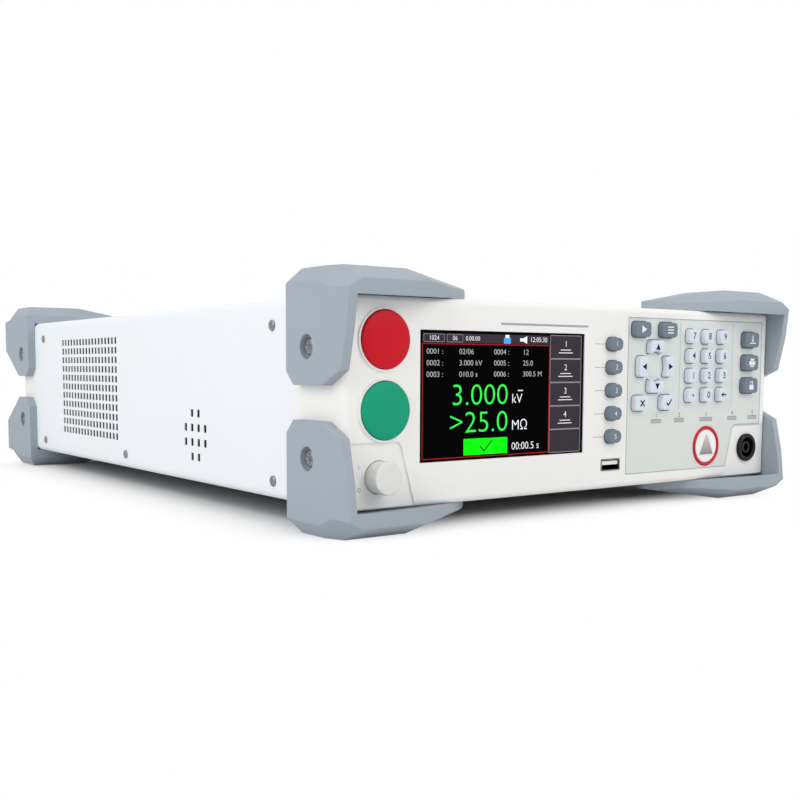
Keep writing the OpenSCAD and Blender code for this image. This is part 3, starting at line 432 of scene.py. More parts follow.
def lip_shaped(points):
    """The underside of the lip, from a drop at its front edge back to the level of the case,
    with a gap over the case where it meets the leg. At the front the leg's edge leans back to its free end:
    its points go back by a broken line over their level, and out with the lean of the side."""
    beyond = np.maximum(face_y - points[:, 1], points[:, 1] - frame_back) / lip_reach
    half, out = np.sign(points[:, 2] - mid_z), np.abs(points[:, 0])
    level = np.abs(points[:, 2] - mid_z)
    under = (beyond > -edge_share) & (level > cover_half.z - lip_band) & (level < cover_half.z + slack)
    on_leg = out > cover_half.x - slack
    height = cover_half.z - lip_drop * np.clip(beyond, 0, 1) + lip_gap * (on_leg & (beyond < edge_share))
    points[:, 2] = np.where(under, mid_z + half * height, points[:, 2])
    leg = on_leg & (beyond > -root_share) & (level < leg_level[-1] - slack) & (points[:, 1] < 0)
    back = np.where(leg, np.interp(level, leg_level, leg_back), 0)
    points[:, 1] += back
    outer = leg & (out > cover_half.x + outer_step)
    wider = np.minimum(out + back * side_lean, cad_box[1].x)
    points[:, 0] = np.where(outer, np.sign(points[:, 0]) * wider, points[:, 0])
    points[:, 2] = np.where(leg, mid_z + half * np.interp(level, leg_level, leg_moved), points[:, 2])
    return points


guard_skin = finish("guard_elastomer", (163, 171, 180), 0.6, fine=1500, bump=0.10, mirror=0.25)
for node in sorted(n for n in frame["nodes"] if n.startswith("guard_") and n != "guard_screws"):
    dress(node, guard_skin, roll=0.8 * MM, segments=3, reshape=lip_shaped)


# Screws. Plated pan heads with a cross recess: one in each guard recess, and a smaller size
# that holds the cover to the tray and the fan to the rear panel.
def skins(name, grids, material, body="case"):
    """One mesh from point grids: rows follow the profile, columns go round and close on themselves."""
    points, quads, start = [], [], 0
    for grid in grids:
        rows, columns = grid.shape[:2]
        here = start + np.arange(rows * columns).reshape(rows, columns)
        beside = np.roll(here, -1, axis=1)
        quads.append(np.stack([here[:-1], here[1:], beside[1:], beside[:-1]], -1).reshape(-1, 4))
        points.append(grid.reshape(-1, 3))
        start += rows * columns
    mesh = bpy.data.meshes.new(name)
    mesh.from_pydata(np.concatenate(points).tolist(), [], np.concatenate(quads).tolist())
    closed = bmesh.new()
    closed.from_mesh(mesh)
    bmesh.ops.remove_doubles(closed, verts=closed.verts, dist=0.001 * MM)
    bmesh.ops.recalc_face_normals(closed, faces=closed.faces)
    closed.to_mesh(mesh)
    closed.free()
    mesh.polygons.foreach_set("use_smooth", np.ones(len(mesh.polygons), bool))
    mesh.set_sharp_from_angle(angle=math.radians(38))
    mesh.materials.append(material)
    piece = put(name, mesh)
    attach(piece, body)
    return piece


def stands_for(piece, node):
    """Hides a solid so that the piece shows in its place; the piece argument is not used."""
    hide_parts(node)


def screw(centre, out, head_r, head_h, shank_r, length):
    """Pan head screw: a profile turned about its axis. The head is a flattened dome, and its middle sinks
    along two crossed slots by a smooth step of the distance from them."""
    out = np.array(out, float)
    across = np.array([0, 0, 1.0]) if abs(out[2]) < 0.5 else np.array([1.0, 0, 0])
    along = np.cross(out, across)
    spread = np.sin(np.linspace(0, math.pi / 2, 14)) * head_r
    dome = head_h * (0.45 + 0.55 * np.sqrt(np.clip(1 - (spread / head_r) ** 3, 0, 1)))
    radius = np.concatenate([spread, [head_r, shank_r, shank_r, 0]])
    height = np.concatenate([dome, [0, 0, -length, -length]])
    angle = np.linspace(0, 2 * math.pi, 48, endpoint=False)
    u = radius[:, None] * np.cos(angle)
    v = radius[:, None] * np.sin(angle)
    slot_half, slot_reach, slot_edge = 0.16 * head_r, 0.55 * head_r, 0.12 * head_r
    slot_depth = 0.55 * head_h
    nearest = np.minimum(np.maximum(np.abs(u) - slot_half, np.abs(v) - slot_reach),
                         np.maximum(np.abs(v) - slot_half, np.abs(u) - slot_reach))
    sunk = np.clip(0.5 - nearest / slot_edge, 0, 1) * slot_depth
    rise = height[:, None] - np.where(np.arange(len(radius))[:, None] < len(spread), sunk, 0)
    return np.array(centre) + rise[..., None] * out + u[..., None] * along + v[..., None] * across


plated = finish("plated_screw", (138, 140, 143), 0.32, fine=900, drift=0.05, bump=0.03, metallic=1.0)
low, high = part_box("guard_screws")
side = cover_high.x
guard_head_r = 3.7 * MM
guard_head_h = 2 * MM
guard_shank = (2 * MM, 9 * MM)
seat_x = high.x - guard_head_h
screw_y = (low.y + guard_head_r, high.y - guard_head_r)
screw_z = (22.8 * MM, 22.6 * MM)
grids = [screw((sx * seat_x, y, mid_z + sz * z), (sx, 0, 0), guard_head_r, guard_head_h, *guard_shank)
         for y, z in zip(screw_y, screw_z) for sx in (-1, 1) for sz in (-1, 1)]
stands_for(skins("guard_screw_set", grids, plated), "guard_screws")

case_head = (2.4 * MM, 1.1 * MM)
case_shank = (1.4 * MM, 5.4 * MM)
foot_z = cover_low.z + 8 * MM
shoulder_z = mid_z + 32.5 * MM
screw_rear = cover_high.y - 20.5 * MM
spots = [(screw_front, foot_z), (screw_mid, foot_z), (screw_rear, foot_z),
         (screw_front, shoulder_z), (screw_rear, shoulder_z)]
grids = [screw((sx * side, y, z), (sx, 0, 0), *case_head, *case_shank)
         for sx in (-1, 1) for y, z in spots]
fan_low, fan_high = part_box("fan_frame")
fan_mid = (fan_low + fan_high) / 2
panel_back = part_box("rear_panel")[1].y
fan_step = (fan_high.x - fan_low.x) / 2 - 5 * MM
grids += [screw((fan_mid.x + sx * fan_step, panel_back, fan_mid.z + sz * fan_step), (0, 1, 0),
                *case_head, *case_shank) for sx in (-1, 1) for sz in (-1, 1)]
stands_for(skins("case_screw_set", grids, plated), "case_screws")


# Keypad overlay. A thin polyester film printed in light grey-green, glued into a recess of the bezel.
# A fine line runs round its edge and two more divide the key groups; plain numbers stand over the windows.
def flat_shapes(name, outlines, y, material, body="case"):
    """Flat outlines in the plane y that face the front, each a short run of points in x and z."""
    counts = [len(outline) for outline in outlines]
    flat = np.concatenate([np.asarray(outline, float) for outline in outlines])
    points = np.column_stack([flat[:, 0], np.full(len(flat), y), flat[:, 1]])
    faces = [list(range(end - count, end)) for end, count in zip(np.cumsum(counts).tolist(), counts)]
    mesh = bpy.data.meshes.new(name)
    mesh.from_pydata(points.tolist(), [], faces)
    mesh.materials.append(material)
    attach(put(name, mesh), body)


def bar(x0, z0, x1, z1):
    """Rectangle as an outline that faces the front."""
    return np.array([(x0, z0), (x1, z0), (x1, z1), (x0, z1)])


def stroke(x0, z0, x1, z1, width):
    """Straight stroke of a pen from one point to another, as an outline."""
    length = math.hypot(x1 - x0, z1 - z0)
    nx, nz = -(z1 - z0) / length * width / 2, (x1 - x0) / length * width / 2
    return np.array([(x0 - nx, z0 - nz), (x1 - nx, z1 - nz), (x1 + nx, z1 + nz), (x0 + nx, z0 + nz)])


def wear(node, material):
    """Gives a solid that stays in view its finish."""
    frame["nodes"][node].material_slots[0].material = material


film = finish("overlay_film", (221, 225, 221), 0.38, fine=3000, drift=0.01, bump=0.02, mirror=0.35)
wear("keypad_overlay", film)
over_low, over_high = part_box("keypad_overlay")
ink_lift = 0.03 * MM
print_y = face_y - ink_lift
line_ink = finish("line_ink", (164, 169, 172), 0.5)
divider_ink = finish("divider_ink", (196, 202, 206), 0.5)
divider_x = (over_low.x + 38.6 * MM, over_low.x + 81.1 * MM)
divider_w = 0.6 * MM
divider_low = mid_z - 6.4 * MM
divider_high = mid_z + 37.3 * MM
lines = [bar(x - divider_w / 2, divider_low, x + divider_w / 2, divider_high) for x in divider_x]
flat_shapes("divider_lines", lines, print_y, divider_ink)

edge_w = 0.45 * MM
field_top = mid_z - 15.6 * MM
field_turn = Vector((cover_high.x - 29 * MM, mid_z - 17.6 * MM))
field_foot = cover_high.x - 34.3 * MM
border = np.array([(over_low.x, over_low.z), (field_foot, over_low.z), field_turn,
                   (field_turn.x + 2 * MM, field_top), (over_high.x, field_top),
                   (over_high.x, over_high.z), (over_low.x, over_high.z)])
ends = np.roll(border, -1, axis=0)
lines = [stroke(*start, *end, edge_w) for start, end in zip(border, ends)]
flat_shapes("overlay_border", lines, print_y, line_ink)


# Bezel prints. A plain blue-grey stripe over the display, thin leader lines from the display
# to the soft keys, and a bar and a ring beside the power button.
stripe_ink = finish("stripe_ink", (150, 166, 176), 0.5, drift=0.03)
leader_ink = finish("leader_ink", (186, 185, 182), 0.5)
mark_ink = finish("mark_ink", (176, 176, 172), 0.5)
stripe_z = mid_z + 33.5 * MM
stripe_h = 0.9 * MM
stripe_left, stripe_right = -55.7 * MM, -1.4 * MM
stripe = bar(stripe_left, stripe_z - stripe_h / 2, stripe_right, stripe_z + stripe_h / 2)
flat_shapes("title_stripe", [stripe], print_y, stripe_ink)
leader_l = 7.2 * MM
leader_w = 0.35 * MM
leaders = []
for i in range(1, 6):
    low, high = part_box(f"soft_key_{i}")
    start, level = low.x + 0.4 * MM, (low.z + high.z) / 2
    leaders.append(bar(start - leader_l, level - leader_w / 2, start, level + leader_w / 2))
flat_shapes("leader_lines", leaders, print_y, leader_ink)
low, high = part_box("power_button")
mark_x = low.x - 1.9 * MM
mark_z = (low.z + high.z) / 2
mark_step = 4.6 * MM
field_y = face_y + 0.8 * MM - ink_lift
turn = np.linspace(0, 2 * math.pi, 25)
rim = np.column_stack([np.cos(turn), np.sin(turn)])
ring_spot = np.array([mark_x, mark_z - mark_step])
mark_half_w, mark_half_h, hole_r = 0.15 * MM, 0.9 * MM, 0.6 * MM
bar_z = mark_z + mark_step
marks = [bar(mark_x - mark_half_w, bar_z - mark_half_h, mark_x + mark_half_w, bar_z + mark_half_h)]
marks += [ring_spot + np.array([hole_r * a, hole_r * b, mark_half_h * b, mark_half_h * a])
          for a, b in zip(rim[1:], rim[:-1])]
flat_shapes("power_marks", marks, field_y, mark_ink)


# Display. A black glass pane, flush in its opening, over a colour panel. The picture on it is a reading:
# two large green figures with white units, a green bar with a tick, a red frame and a dark menu column.
pane = finish("pane_glass", (3, 3, 4), 0.15, fine=400, drift=0.05, bump=0.0, mirror=0.01)
wear("display_window", pane)
pane_low, pane_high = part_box("display_window")
pane_w = pane_high.x - pane_low.x
pane_h = pane_high.z - pane_low.z


def on_pane(box, shrink=0.0):
    """Corners on the pane from shares of its width and height, counted from its upper left corner."""
    left, top, right, bottom = box
    return (pane_low.x + left * pane_w + shrink, pane_high.z - bottom * pane_h + shrink,
            pane_low.x + right * pane_w - shrink, pane_high.z - top * pane_h - shrink)


def outline(box, width):
    """Four thin bars along the sides of a box of pane shares."""
    left, bottom, right, top = on_pane(box)
    return [bar(left, bottom, right, bottom + width), bar(left, top - width, right, top),
            bar(left, bottom, left + width, top), bar(right - width, bottom, right, top)]


def lettering(name, words, height, x, z, y, material, body, align="CENTER", weight=0.0, wide=1.0):
    """Plain figures as a thin print that faces the front: drawn flat, made a mesh, turned up and placed.
    Weight makes the strokes bolder or finer by a share of the height, and wide stretches them sideways."""
    curve = bpy.data.curves.new(name, "FONT")
    curve.body = words
    curve.size = height / 0.7
    curve.align_x = align
    curve.align_y = "CENTER"
    curve.extrude = 0.01 * MM
    curve.offset = weight * height
    curve.resolution_u = 4
    drawn = put(name, curve)
    mesh = bpy.data.meshes.new_from_object(drawn.evaluated_get(bpy.context.evaluated_depsgraph_get()))
    bpy.data.objects.remove(drawn)
    stand = Matrix.Rotation(math.pi / 2, 4, "X") @ Matrix.Diagonal((wide, 1, 1, 1))
    mesh.transform(Matrix.Translation((x, y, z)) @ stand)
    mesh.materials.clear()
    mesh.materials.append(material)
    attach(put(name, mesh), body)


def lit(name, colour, glow):
    """Part of the lit picture: its colour glows and reflects next to nothing."""
    return finish("lit_" + name, colour, 0.4, bump=0.0, glow=glow, mirror=0.03)


light_green = lit("green", (40, 214, 66), 0.75)
bar_green = lit("bar_green", (8, 236, 12), 0.8)
light_white = lit("white", (214, 217, 220), 0.55)
light_dim = lit("dim", (164, 166, 170), 0.5)
light_grey = lit("grey", (120, 114, 118), 0.6)
light_red = lit("red", (150, 22, 30), 0.7)
light_blue = lit("blue", (70, 140, 205), 0.6)
tile_dark = lit("dark_tile", (50, 45, 51), 0.4)
tick_ink = lit("tick", (8, 66, 16), 0.2)
pane_y = pane_low.y - ink_lift
mark_y = pane_y - ink_lift
text_y = mark_y - ink_lift
column_left, column_right = 0.775, 0.984
tile_top, tile_step = 0.014, 0.195
tile_rows = [tile_top + tile_step * i for i in range(6)]
tiles = [(column_left, upper, column_right, lower) for upper, lower in zip(tile_rows, tile_rows[1:])]
status_row = (0.012, 0.016, 0.772, 0.098)
count_boxes = [(0.02, 0.026, 0.135, 0.088), (0.15, 0.026, 0.24, 0.088)]
tile_gap = 0.25 * MM
tile_line, count_line, frame_line = 0.32 * MM, 0.22 * MM, 0.38 * MM
flat_shapes("menu_tiles", [bar(*on_pane(t, tile_gap)) for t in tiles + [status_row]], pane_y, tile_dark)
bars = sum([outline(t, tile_line) for t in tiles] + [outline(t, count_line) for t in count_boxes], [])
flat_shapes("tile_frames", bars, mark_y, light_grey)
flat_shapes("red_frame", outline((0.012, 0.098, 0.773, 0.982), frame_line), mark_y, light_red)
pass_bar = (0.249, 0.838, 0.510, 0.965)
left, bottom, right, top = on_pane(pass_bar)
flat_shapes("result_bar", [bar(left, bottom, right, top)], pane_y, bar_green)
tick_mid = np.array([left + right, bottom + top] * 2) / 2
tick_ends = tick_mid + np.array([(-3.4, 0.2, -0.9, -2.2), (-1.2, -2.2, 3.6, 2.5)]) * MM
tick_w = 0.8 * MM
flat_shapes("result_tick", [stroke(*ends, tick_w) for ends in tick_ends], mark_y, tick_ink)
flat_shapes("card_contacts", [bar(*on_pane((0.491, 0.022, 0.515, 0.046)))], mark_y, light_white)
flat_shapes("card_sign", [bar(*on_pane((0.482, 0.046, 0.524, 0.092)))], mark_y, light_blue)
left, bottom, right, top = on_pane((0.582, 0.028, 0.626, 0.09))
middle = (bottom + top) / 2
neck = left + (right - left) * 0.45
neck_low, neck_high = middle - 0.7 * MM, middle + 0.7 * MM
horn = [(neck, neck_low), (right, bottom), (right, top), (neck, neck_high)]
flat_shapes("sounder_sign", [bar(left, neck_low, neck, neck_high), horn], mark_y, light_white)
menu_rules = [on_pane((0.844, t[1] + 0.118, 0.914, t[1] + 0.124)) for t in tiles[:4]]
menu_rules += [on_pane((0.832, t[1] + 0.142, 0.926, t[1] + 0.148)) for t in tiles[:4]]
flat_shapes("menu_rules", [bar(*rule) for rule in menu_rules], mark_y, light_white)


def on_pane_text(name, words, box, align="LEFT", material=light_white, weight=-0.012, wide=1.0):
    """Figures that fill a box of pane shares in height."""
    left, bottom, right, top = on_pane(box)
    x = {"LEFT": left, "CENTER": (left + right) / 2, "RIGHT": right}[align]
    lettering(name, words, top - bottom, x, (top + bottom) / 2, text_y, material, "case", align, weight, wide)


on_pane_text("reading_volts", "3.000", (0.18, 0.419, 0.515, 0.585), "RIGHT", light_green, -0.02, 1.14)
on_pane_text("reading_ohms", ">25.0", (0.18, 0.633, 0.515, 0.799), "RIGHT", light_green, -0.02, 1.14)
on_pane_text("unit_volts", "kV", (0.533, 0.495, 0.66, 0.571))
on_pane_text("unit_ohms", "MΩ", (0.533, 0.706, 0.66, 0.787))
flat_shapes("direct_sign", [bar(*on_pane((0.572, 0.462, 0.604, 0.470)))], mark_y, light_white)
on_pane_text("timer", "00:00.5 s", (0.535, 0.886, 0.75, 0.946))
on_pane_text("clock", "12:05:30", (0.645, 0.038, 0.77, 0.077))
on_pane_text("count_one", "1024", (0.02, 0.040, 0.135, 0.075), "CENTER")
on_pane_text("count_two", "06", (0.15, 0.040, 0.24, 0.075), "CENTER")
on_pane_text("count_three", "0.00.00", (0.255, 0.040, 0.40, 0.075))
settings_top, settings_step, settings_h = 0.139, 0.0875, 0.042
settings = {0.035: ("0001 :", "0002 :", "0003 :"), 0.218: ("02/06", "3.000 kV", "010.0 s"),
            0.422: ("0004 :", "0005 :", "0006 :"), 0.600: ("12", "25.0", "300.5 M")}
for column, (left, rows) in enumerate(settings.items()):
    for row, words in enumerate(rows):
        top = settings_top + settings_step * row
        box = (left, top, left + 0.15, top + settings_h)
        on_pane_text(f"setting_{column}_{row}", words, box, material=light_dim, wide=1.1)
for i, tile in enumerate(tiles[:4]):
    box = (column_left, tile[1] + 0.048, column_right, tile[1] + 0.098)
    on_pane_text(f"menu_figure_{i + 1}", str(i + 1), box, "CENTER")


# Small keys. Rubber caps that stand through the film and the front wall; the menu keys are blue-grey,
# the figure keys and arrows bluish white. Each has leaning sides, a rolled edge and a barely domed top.
key_rays = np.linspace(0, 2 * math.pi, 72, endpoint=False)
# Painted shadow: flat rings round the foot of each key, gathered by key_cap and drawn in dark grey on the
# film.
painted_gap_shadows = []
gap_shadow_w = 0.4 * MM


def outline_at(distance, inset):
    """Length along each ray from the middle at which a field equals minus the inset, found by halving."""
    low = np.zeros((len(inset), len(key_rays)))
    farthest, halvings = 12 * MM, 30
    high = np.full_like(low, farthest)
    for _ in range(halvings):
        middle = (low + high) / 2
        inside = distance(middle * np.cos(key_rays), middle * np.sin(key_rays)) < -inset[:, None]
        low = np.where(inside, middle, low)
        high = np.where(inside, high, middle)
    return low


def turned_to(centre, length, turn):
    """Points at the given lengths along the rays, turned in the plane of the front about a centre."""
    return (centre[0] + length * np.cos(key_rays + turn), centre[1] + length * np.sin(key_rays + turn))


def key_cap(name, centre, distance, proud, material, body, turn=0.0, back=4 * MM):
    """Cap lofted through outlines of a distance field. Insets grow with height by a quarter circle,
    then the outline closes over a barely domed top. A narrow ring round its foot is kept for later, to be
    drawn flat in dark grey as painted shadow in the gap."""
    roll, lean, dome = 0.5 * MM, 0.15 * MM, 0.08 * MM
    bend = np.linspace(0, math.pi / 2, 6)
    close = np.linspace(1, 0, 6)[1:]
    inset = np.concatenate([[0, 0, 0], lean + roll * (1 - np.cos(bend)), np.full(5, lean + roll)])
    top = -proud - dome * (1 - close ** 2)
    depth = np.concatenate([[back, back, 0], roll * (1 - np.sin(bend)) - proud, top])
    shrink = np.concatenate([[0, 1, 1], np.ones(6), close])
    x, z = turned_to(centre, outline_at(distance, inset) * shrink[:, None], turn)
    y = face_y + np.broadcast_to(depth[:, None], x.shape)
    ring_x, ring_z = turned_to(centre, outline_at(distance, np.array([0, -gap_shadow_w])), turn)
    ring = np.stack([ring_x, ring_z], -1)
    beside = np.roll(ring, -1, axis=1)
    painted_gap_shadows.extend(np.stack([ring[0], ring[1], beside[1], beside[0]], 1))
    return skins(name, [np.stack([x, y, z], -1)], material, body)


dark_rubber = finish("dark_key_rubber", (112, 124, 137), 0.5, fine=1800, mirror=0.3)
light_rubber = finish("light_key_rubber", (220, 227, 237), 0.5, fine=1800, mirror=0.3)
key_tab = 0.8 * MM
key_corner = 2.0 * MM
soft_corner = 2.8 * MM
arrow_names = ["up_key", "left_key", "down_key", "right_key"]
soft_names = [f"soft_key_{i}" for i in range(1, 6)]
dark_keys = soft_names + ["test_key", "setup_key", "save_key", "print_key", "lock_key"]
digit_keys = [f"digit_{i}" for i in range(10)] + ["point_key", "erase_key"]
light_keys = digit_keys + ["cancel_key", "accept_key"]
key_spot = {}
for node in dark_keys + light_keys + arrow_names:
    low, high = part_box(node)
    key_spot[node] = ((low.x + high.x) / 2, (low.z + high.z) / 2, face_y - low.y)
for node in dark_keys + light_keys:
    low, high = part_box(node)
    half_w = (high.x - low.x) / 2 - key_tab
    half_h = (high.z - low.z) / 2
    corner = soft_corner if node in soft_names else key_corner
    x, z, proud = key_spot[node]
    rubber = dark_rubber if node in dark_keys else light_rubber
    piece = key_cap(node + "_cap", (x, z), lambda u, v: round_box(u, v, half_w, half_h, corner),
                    proud, rubber, node)
    stands_for(piece, node)

ring_x, ring_z = key_spot["up_key"][0], key_spot["left_key"][1]
ring_r = 7.4 * MM
arrow_off = 9.4 * MM
low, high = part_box("up_key")
arrow_half_w = (high.x - low.x) / 2 - key_tab
arrow_half_h = (high.z - low.z) / 2
core_shift = 1.2 * MM


def arrow_field(u, v):
    """Rounded rectangle less a disc, joined by a smooth maximum so that its horns are round."""
    v = v + core_shift
    block = round_box(u, v, arrow_half_w, arrow_half_h, key_corner)
    bite = ring_r - np.hypot(u, v + arrow_off)
    blend = 1.0 * MM
    near = np.maximum(blend - np.abs(block - bite), 0) / blend
    return np.maximum(block, bite) + near * near * blend / 4


for i, node in enumerate(arrow_names):
    turn = i * math.pi / 2
    reach = arrow_off + core_shift
    middle = (ring_x - reach * math.sin(turn), ring_z + reach * math.cos(turn))
    piece = key_cap(node + "_cap", middle, arrow_field, key_spot[node][2], light_rubber, node, turn)
    stands_for(piece, node)

# Painted shadow: a flat dark grey ring round each key stands in for the shade in the gap between key and
# film.
gap_shadow_paint = finish("key_gap_shade", (104, 108, 112), 0.6, mirror=0.1)
flat_shapes("painted_gap_shadows", painted_gap_shadows, print_y, gap_shadow_paint)


# Key prints. Dark figures on the figure keys, white ones on the soft keys, and plain signs elsewhere:
# arrows, a tick and a cross, a play sign, lines for the set-up, a tray, a sheet and a padlock.
dark_ink = finish("dark_key_ink", (24, 27, 33), 0.55, drift=0.03, mirror=0.1)
white_ink = finish("white_key_ink", (235, 238, 240), 0.55)
print_lift = 0.12 * MM


def sign(name, outlines, node, material):
    """Flat sign on a key from a few outlines in millimetres about the middle of the key."""
    x, z, proud = key_spot[node]
    placed = [np.array([x, z]) + np.asarray(outline, float) * MM for outline in outlines]
    flat_shapes(name, placed, face_y - proud - print_lift, material, node)


def figure(node, words, height, material, weight=0.0):
    """Plain figure on the top of a key."""
    x, z, proud = key_spot[node]
    y = face_y - proud - print_lift
    lettering("print_" + node, words, height, x, z, y, material, node, weight=weight)


digit_h, digit_weight = 3.3 * MM, 0.006
soft_h = 2.4 * MM
for i in range(10):
    figure(f"digit_{i}", str(i), digit_h, dark_ink, digit_weight)
sign("print_point", [bar(-0.5, -0.5, 0.5, 0.5)], "point_key", dark_ink)
for i, node in enumerate(soft_names, 1):
    figure(node, str(i), soft_h, white_ink)

arrow = np.array([(-1.6, -1.2), (1.6, -1.2), (0, 1.8)])
for i, node in enumerate(arrow_names):
    across = np.array([math.cos(i * math.pi / 2), math.sin(i * math.pi / 2)])
    along = np.array([-across[1], across[0]])
    sign("print_" + node, [arrow @ np.array([across, along])], node, dark_ink)

pen = 0.7
signs = {
    "erase": ([[(-2.0, 0), (-0.4, -1.3), (-0.4, 1.3)], bar(-0.4, -0.35, 2.0, 0.35)], dark_ink),
    "cancel": ([stroke(-1.5, -1.5, 1.5, 1.5, pen), stroke(-1.5, 1.5, 1.5, -1.5, pen)], dark_ink),
    "accept": ([stroke(-1.9, 0.1, -0.5, -1.4, pen), stroke(-0.6, -1.4, 2.0, 1.6, pen)], dark_ink),
    "test": ([[(-1.5, -1.9), (1.9, 0), (-1.5, 1.9)]], white_ink),
    "setup": ([bar(-2.2, k - 0.3, 2.2, k + 0.3) for k in (-1.4, 0, 1.4)], white_ink),
    "save": ([bar(-2.4, -2.0, 2.4, -1.4), bar(-0.35, -0.4, 0.35, 2.2), [(-1.3, 0.0), (0, -1.2), (1.3, 0.0)]],
             white_ink),
    "print": ([bar(-2.6, -1.2, 2.6, 0.8), bar(-1.6, 1.1, 1.6, 2.2), bar(-1.6, -2.2, 1.6, -1.5)], white_ink),
    "lock": ([bar(-1.8, -2.1, 1.8, 0.4), bar(-1.2, 0.4, -0.7, 1.7), bar(0.7, 0.4, 1.2, 1.7),
              bar(-1.2, 1.7, 1.2, 2.2)], white_ink),
}
for name, (outlines, ink) in signs.items():
    sign("print_" + name, outlines, name + "_key", ink)


# Stop and start buttons. Large crowned caps in red and green with a satin skin;
# each slides in a raised rim of the bezel.
def turned(profile, x, z, steps=96):
    """Grid of a profile of radius and depth turned about an axis along y through x and z."""
    radius, depth = np.array(profile, float).T
    angle = np.linspace(0, 2 * math.pi, steps, endpoint=False)
    across = x + radius[:, None] * np.cos(angle)
    up = z + radius[:, None] * np.sin(angle)
    return np.stack([across, np.broadcast_to(depth[:, None], across.shape), up], -1)


def crowned_cap(radius, front, back, crown, roll):
    """Profile of a cap: a crown that falls with the fourth power of the radius,
    a rolled edge and a straight skirt."""
    inner = np.linspace(0, radius - roll, 14)
    top = front + crown * (inner / radius) ** 4
    bend = np.linspace(0, math.pi / 2, 8)[1:]
    edge = front + crown * ((radius - roll) / radius) ** 4
    rim_r = radius - roll + roll * np.sin(bend)
    rim_y = edge + roll * (1 - np.cos(bend))
    return np.column_stack([np.concatenate([inner, rim_r, [radius, 0]]),
                            np.concatenate([top, rim_y, [back, back]])])


def turned_piece(name, profile, material, node, body="case"):
    """Turned piece in the place of a solid, about the middle of that solid."""
    low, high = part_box(node)
    grid = turned(profile, (low.x + high.x) / 2, (low.z + high.z) / 2)
    stands_for(skins(name, [grid], material, body), node)


def button(node, material, crown, roll):
    """Round button: a crowned cap without the tabs that hold the solid behind the wall."""
    low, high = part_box(node)
    radius = (high.x - low.x) / 2 - key_tab - play
    profile = crowned_cap(radius, low.y, cap_back, crown, roll)
    turned_piece(node + "_cap", profile, material, node, node)


play = 0.3 * MM
cap_back = face_y + 4 * MM
stop_red = finish("stop_red_cap", (208, 22, 40), 0.38, bump=0.03, mirror=0.12)
start_green = finish("start_green_cap", (22, 158, 120), 0.38, bump=0.03, mirror=0.12)
button("stop_button", stop_red, crown=0.9 * MM, roll=0.6 * MM)
button("start_button", start_green, crown=0.9 * MM, roll=0.6 * MM)


# Power button. A grey-white round push button that stands well out of the lower left corner field.
button_white = finish("power_cap", (226, 226, 222), 0.4, drift=0.015, mirror=0.3)
button("power_button", button_white, crown=0.15 * MM, roll=0.8 * MM)


# Warning lamp. A red ring clipped round a milky lens, with a plain raised triangle moulded in its middle;
# the triangle is grey and darkens towards its foot as painted shade.
def place_along(made, axis):
    """The piece's own coordinate along one axis, for its material."""
    tree, wires = made.node_tree.nodes, made.node_tree.links
    place = tree.new("ShaderNodeTexCoord")
    parts = tree.new("ShaderNodeSeparateXYZ")
    wires.new(place.outputs["Object"], parts.inputs[0])
    return parts.outputs[axis]


lamp_low, lamp_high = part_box("warning_lamp")
lamp_x = (lamp_low.x + lamp_high.x) / 2
lamp_z = (lamp_low.z + lamp_high.z) / 2
lamp_r = (lamp_high.x - lamp_low.x) / 2
ring_w = 1.7 * MM
ring_red = finish("lamp_ring_red", (200, 32, 44), 0.35, mirror=0.2)
milky = finish("lamp_lens", (246, 246, 245), 0.3)
triangle_painted_shade = finish("lamp_triangle", (205, 202, 202), 0.4, drift=0.03)
shade_low, shade_high = lamp_z - 4 * MM, lamp_z + 5 * MM
# Painted shade: the triangle's grey runs darker towards its foot, as light falls on the top of the small
# raised form.
second_colour(triangle_painted_shade, place_along(triangle_painted_shade, "Z"), shade_low, shade_high, (150, 143, 144), None)
bend = np.linspace(0, math.pi, 13)
ring_mid = lamp_r - ring_w / 2
ring_front, ring_back = face_y - 0.3 * MM, face_y + 0.5 * MM
ring_bulge = 0.5 * MM
section = np.column_stack([ring_mid + ring_w / 2 * np.cos(bend), ring_front - ring_bulge * np.sin(bend)])
section = np.vstack([section, [(lamp_r - ring_w, ring_back), (lamp_r, ring_back), section[0]]])
turned_piece("lamp_ring", section, ring_red, "warning_lamp")
lens_r = lamp_r - ring_w - 0.1 * MM
profile = crowned_cap(lens_r, face_y - 0.35 * MM, cap_back, crown=0.15 * MM, roll=0.2 * MM)
turned_piece("lamp_disc", profile, milky, "warning_lamp")
triangle = np.array([(-5.2, -4.2), (5.2, -4.2), (0, 6.2)]) * MM
rings = [(0.0, 0.0), (1.0, 0.0), (1.0, -0.5), (0.9, -0.75), (0.0, -0.75)]
grid = np.stack([np.column_stack([lamp_x + triangle[:, 0] * s, np.full(3, face_y + (d - 0.3) * MM),
                                  lamp_z + triangle[:, 1] * s]) for s, d in rings])
skins("lamp_triangle", [grid], triangle_painted_shade)


# Status windows. Five narrow light pipes, flush with the film, of frosted clear plastic;
# a plain number in dark grey stands over each.
frosted = finish("frosted_window", (176, 179, 178), 0.3, drift=0.03)
wear("status_lamps", frosted)
label_ink = finish("label_ink", (64, 68, 75), 0.5, drift=0.03)
low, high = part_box("status_lamps")
window_half = 3.7 * MM
window_share = (0, 0.224, 0.499, 0.777, 1)
first, last = low.x + window_half, high.x - window_half
number_h = 2.0 * MM
number_z = mid_z - 9.4 * MM
for i, share in enumerate(window_share, 1):
    number_x = first + share * (last - first)
    lettering(f"window_number_{i}", str(i), number_h, number_x, number_z, print_y, label_ink, "case")


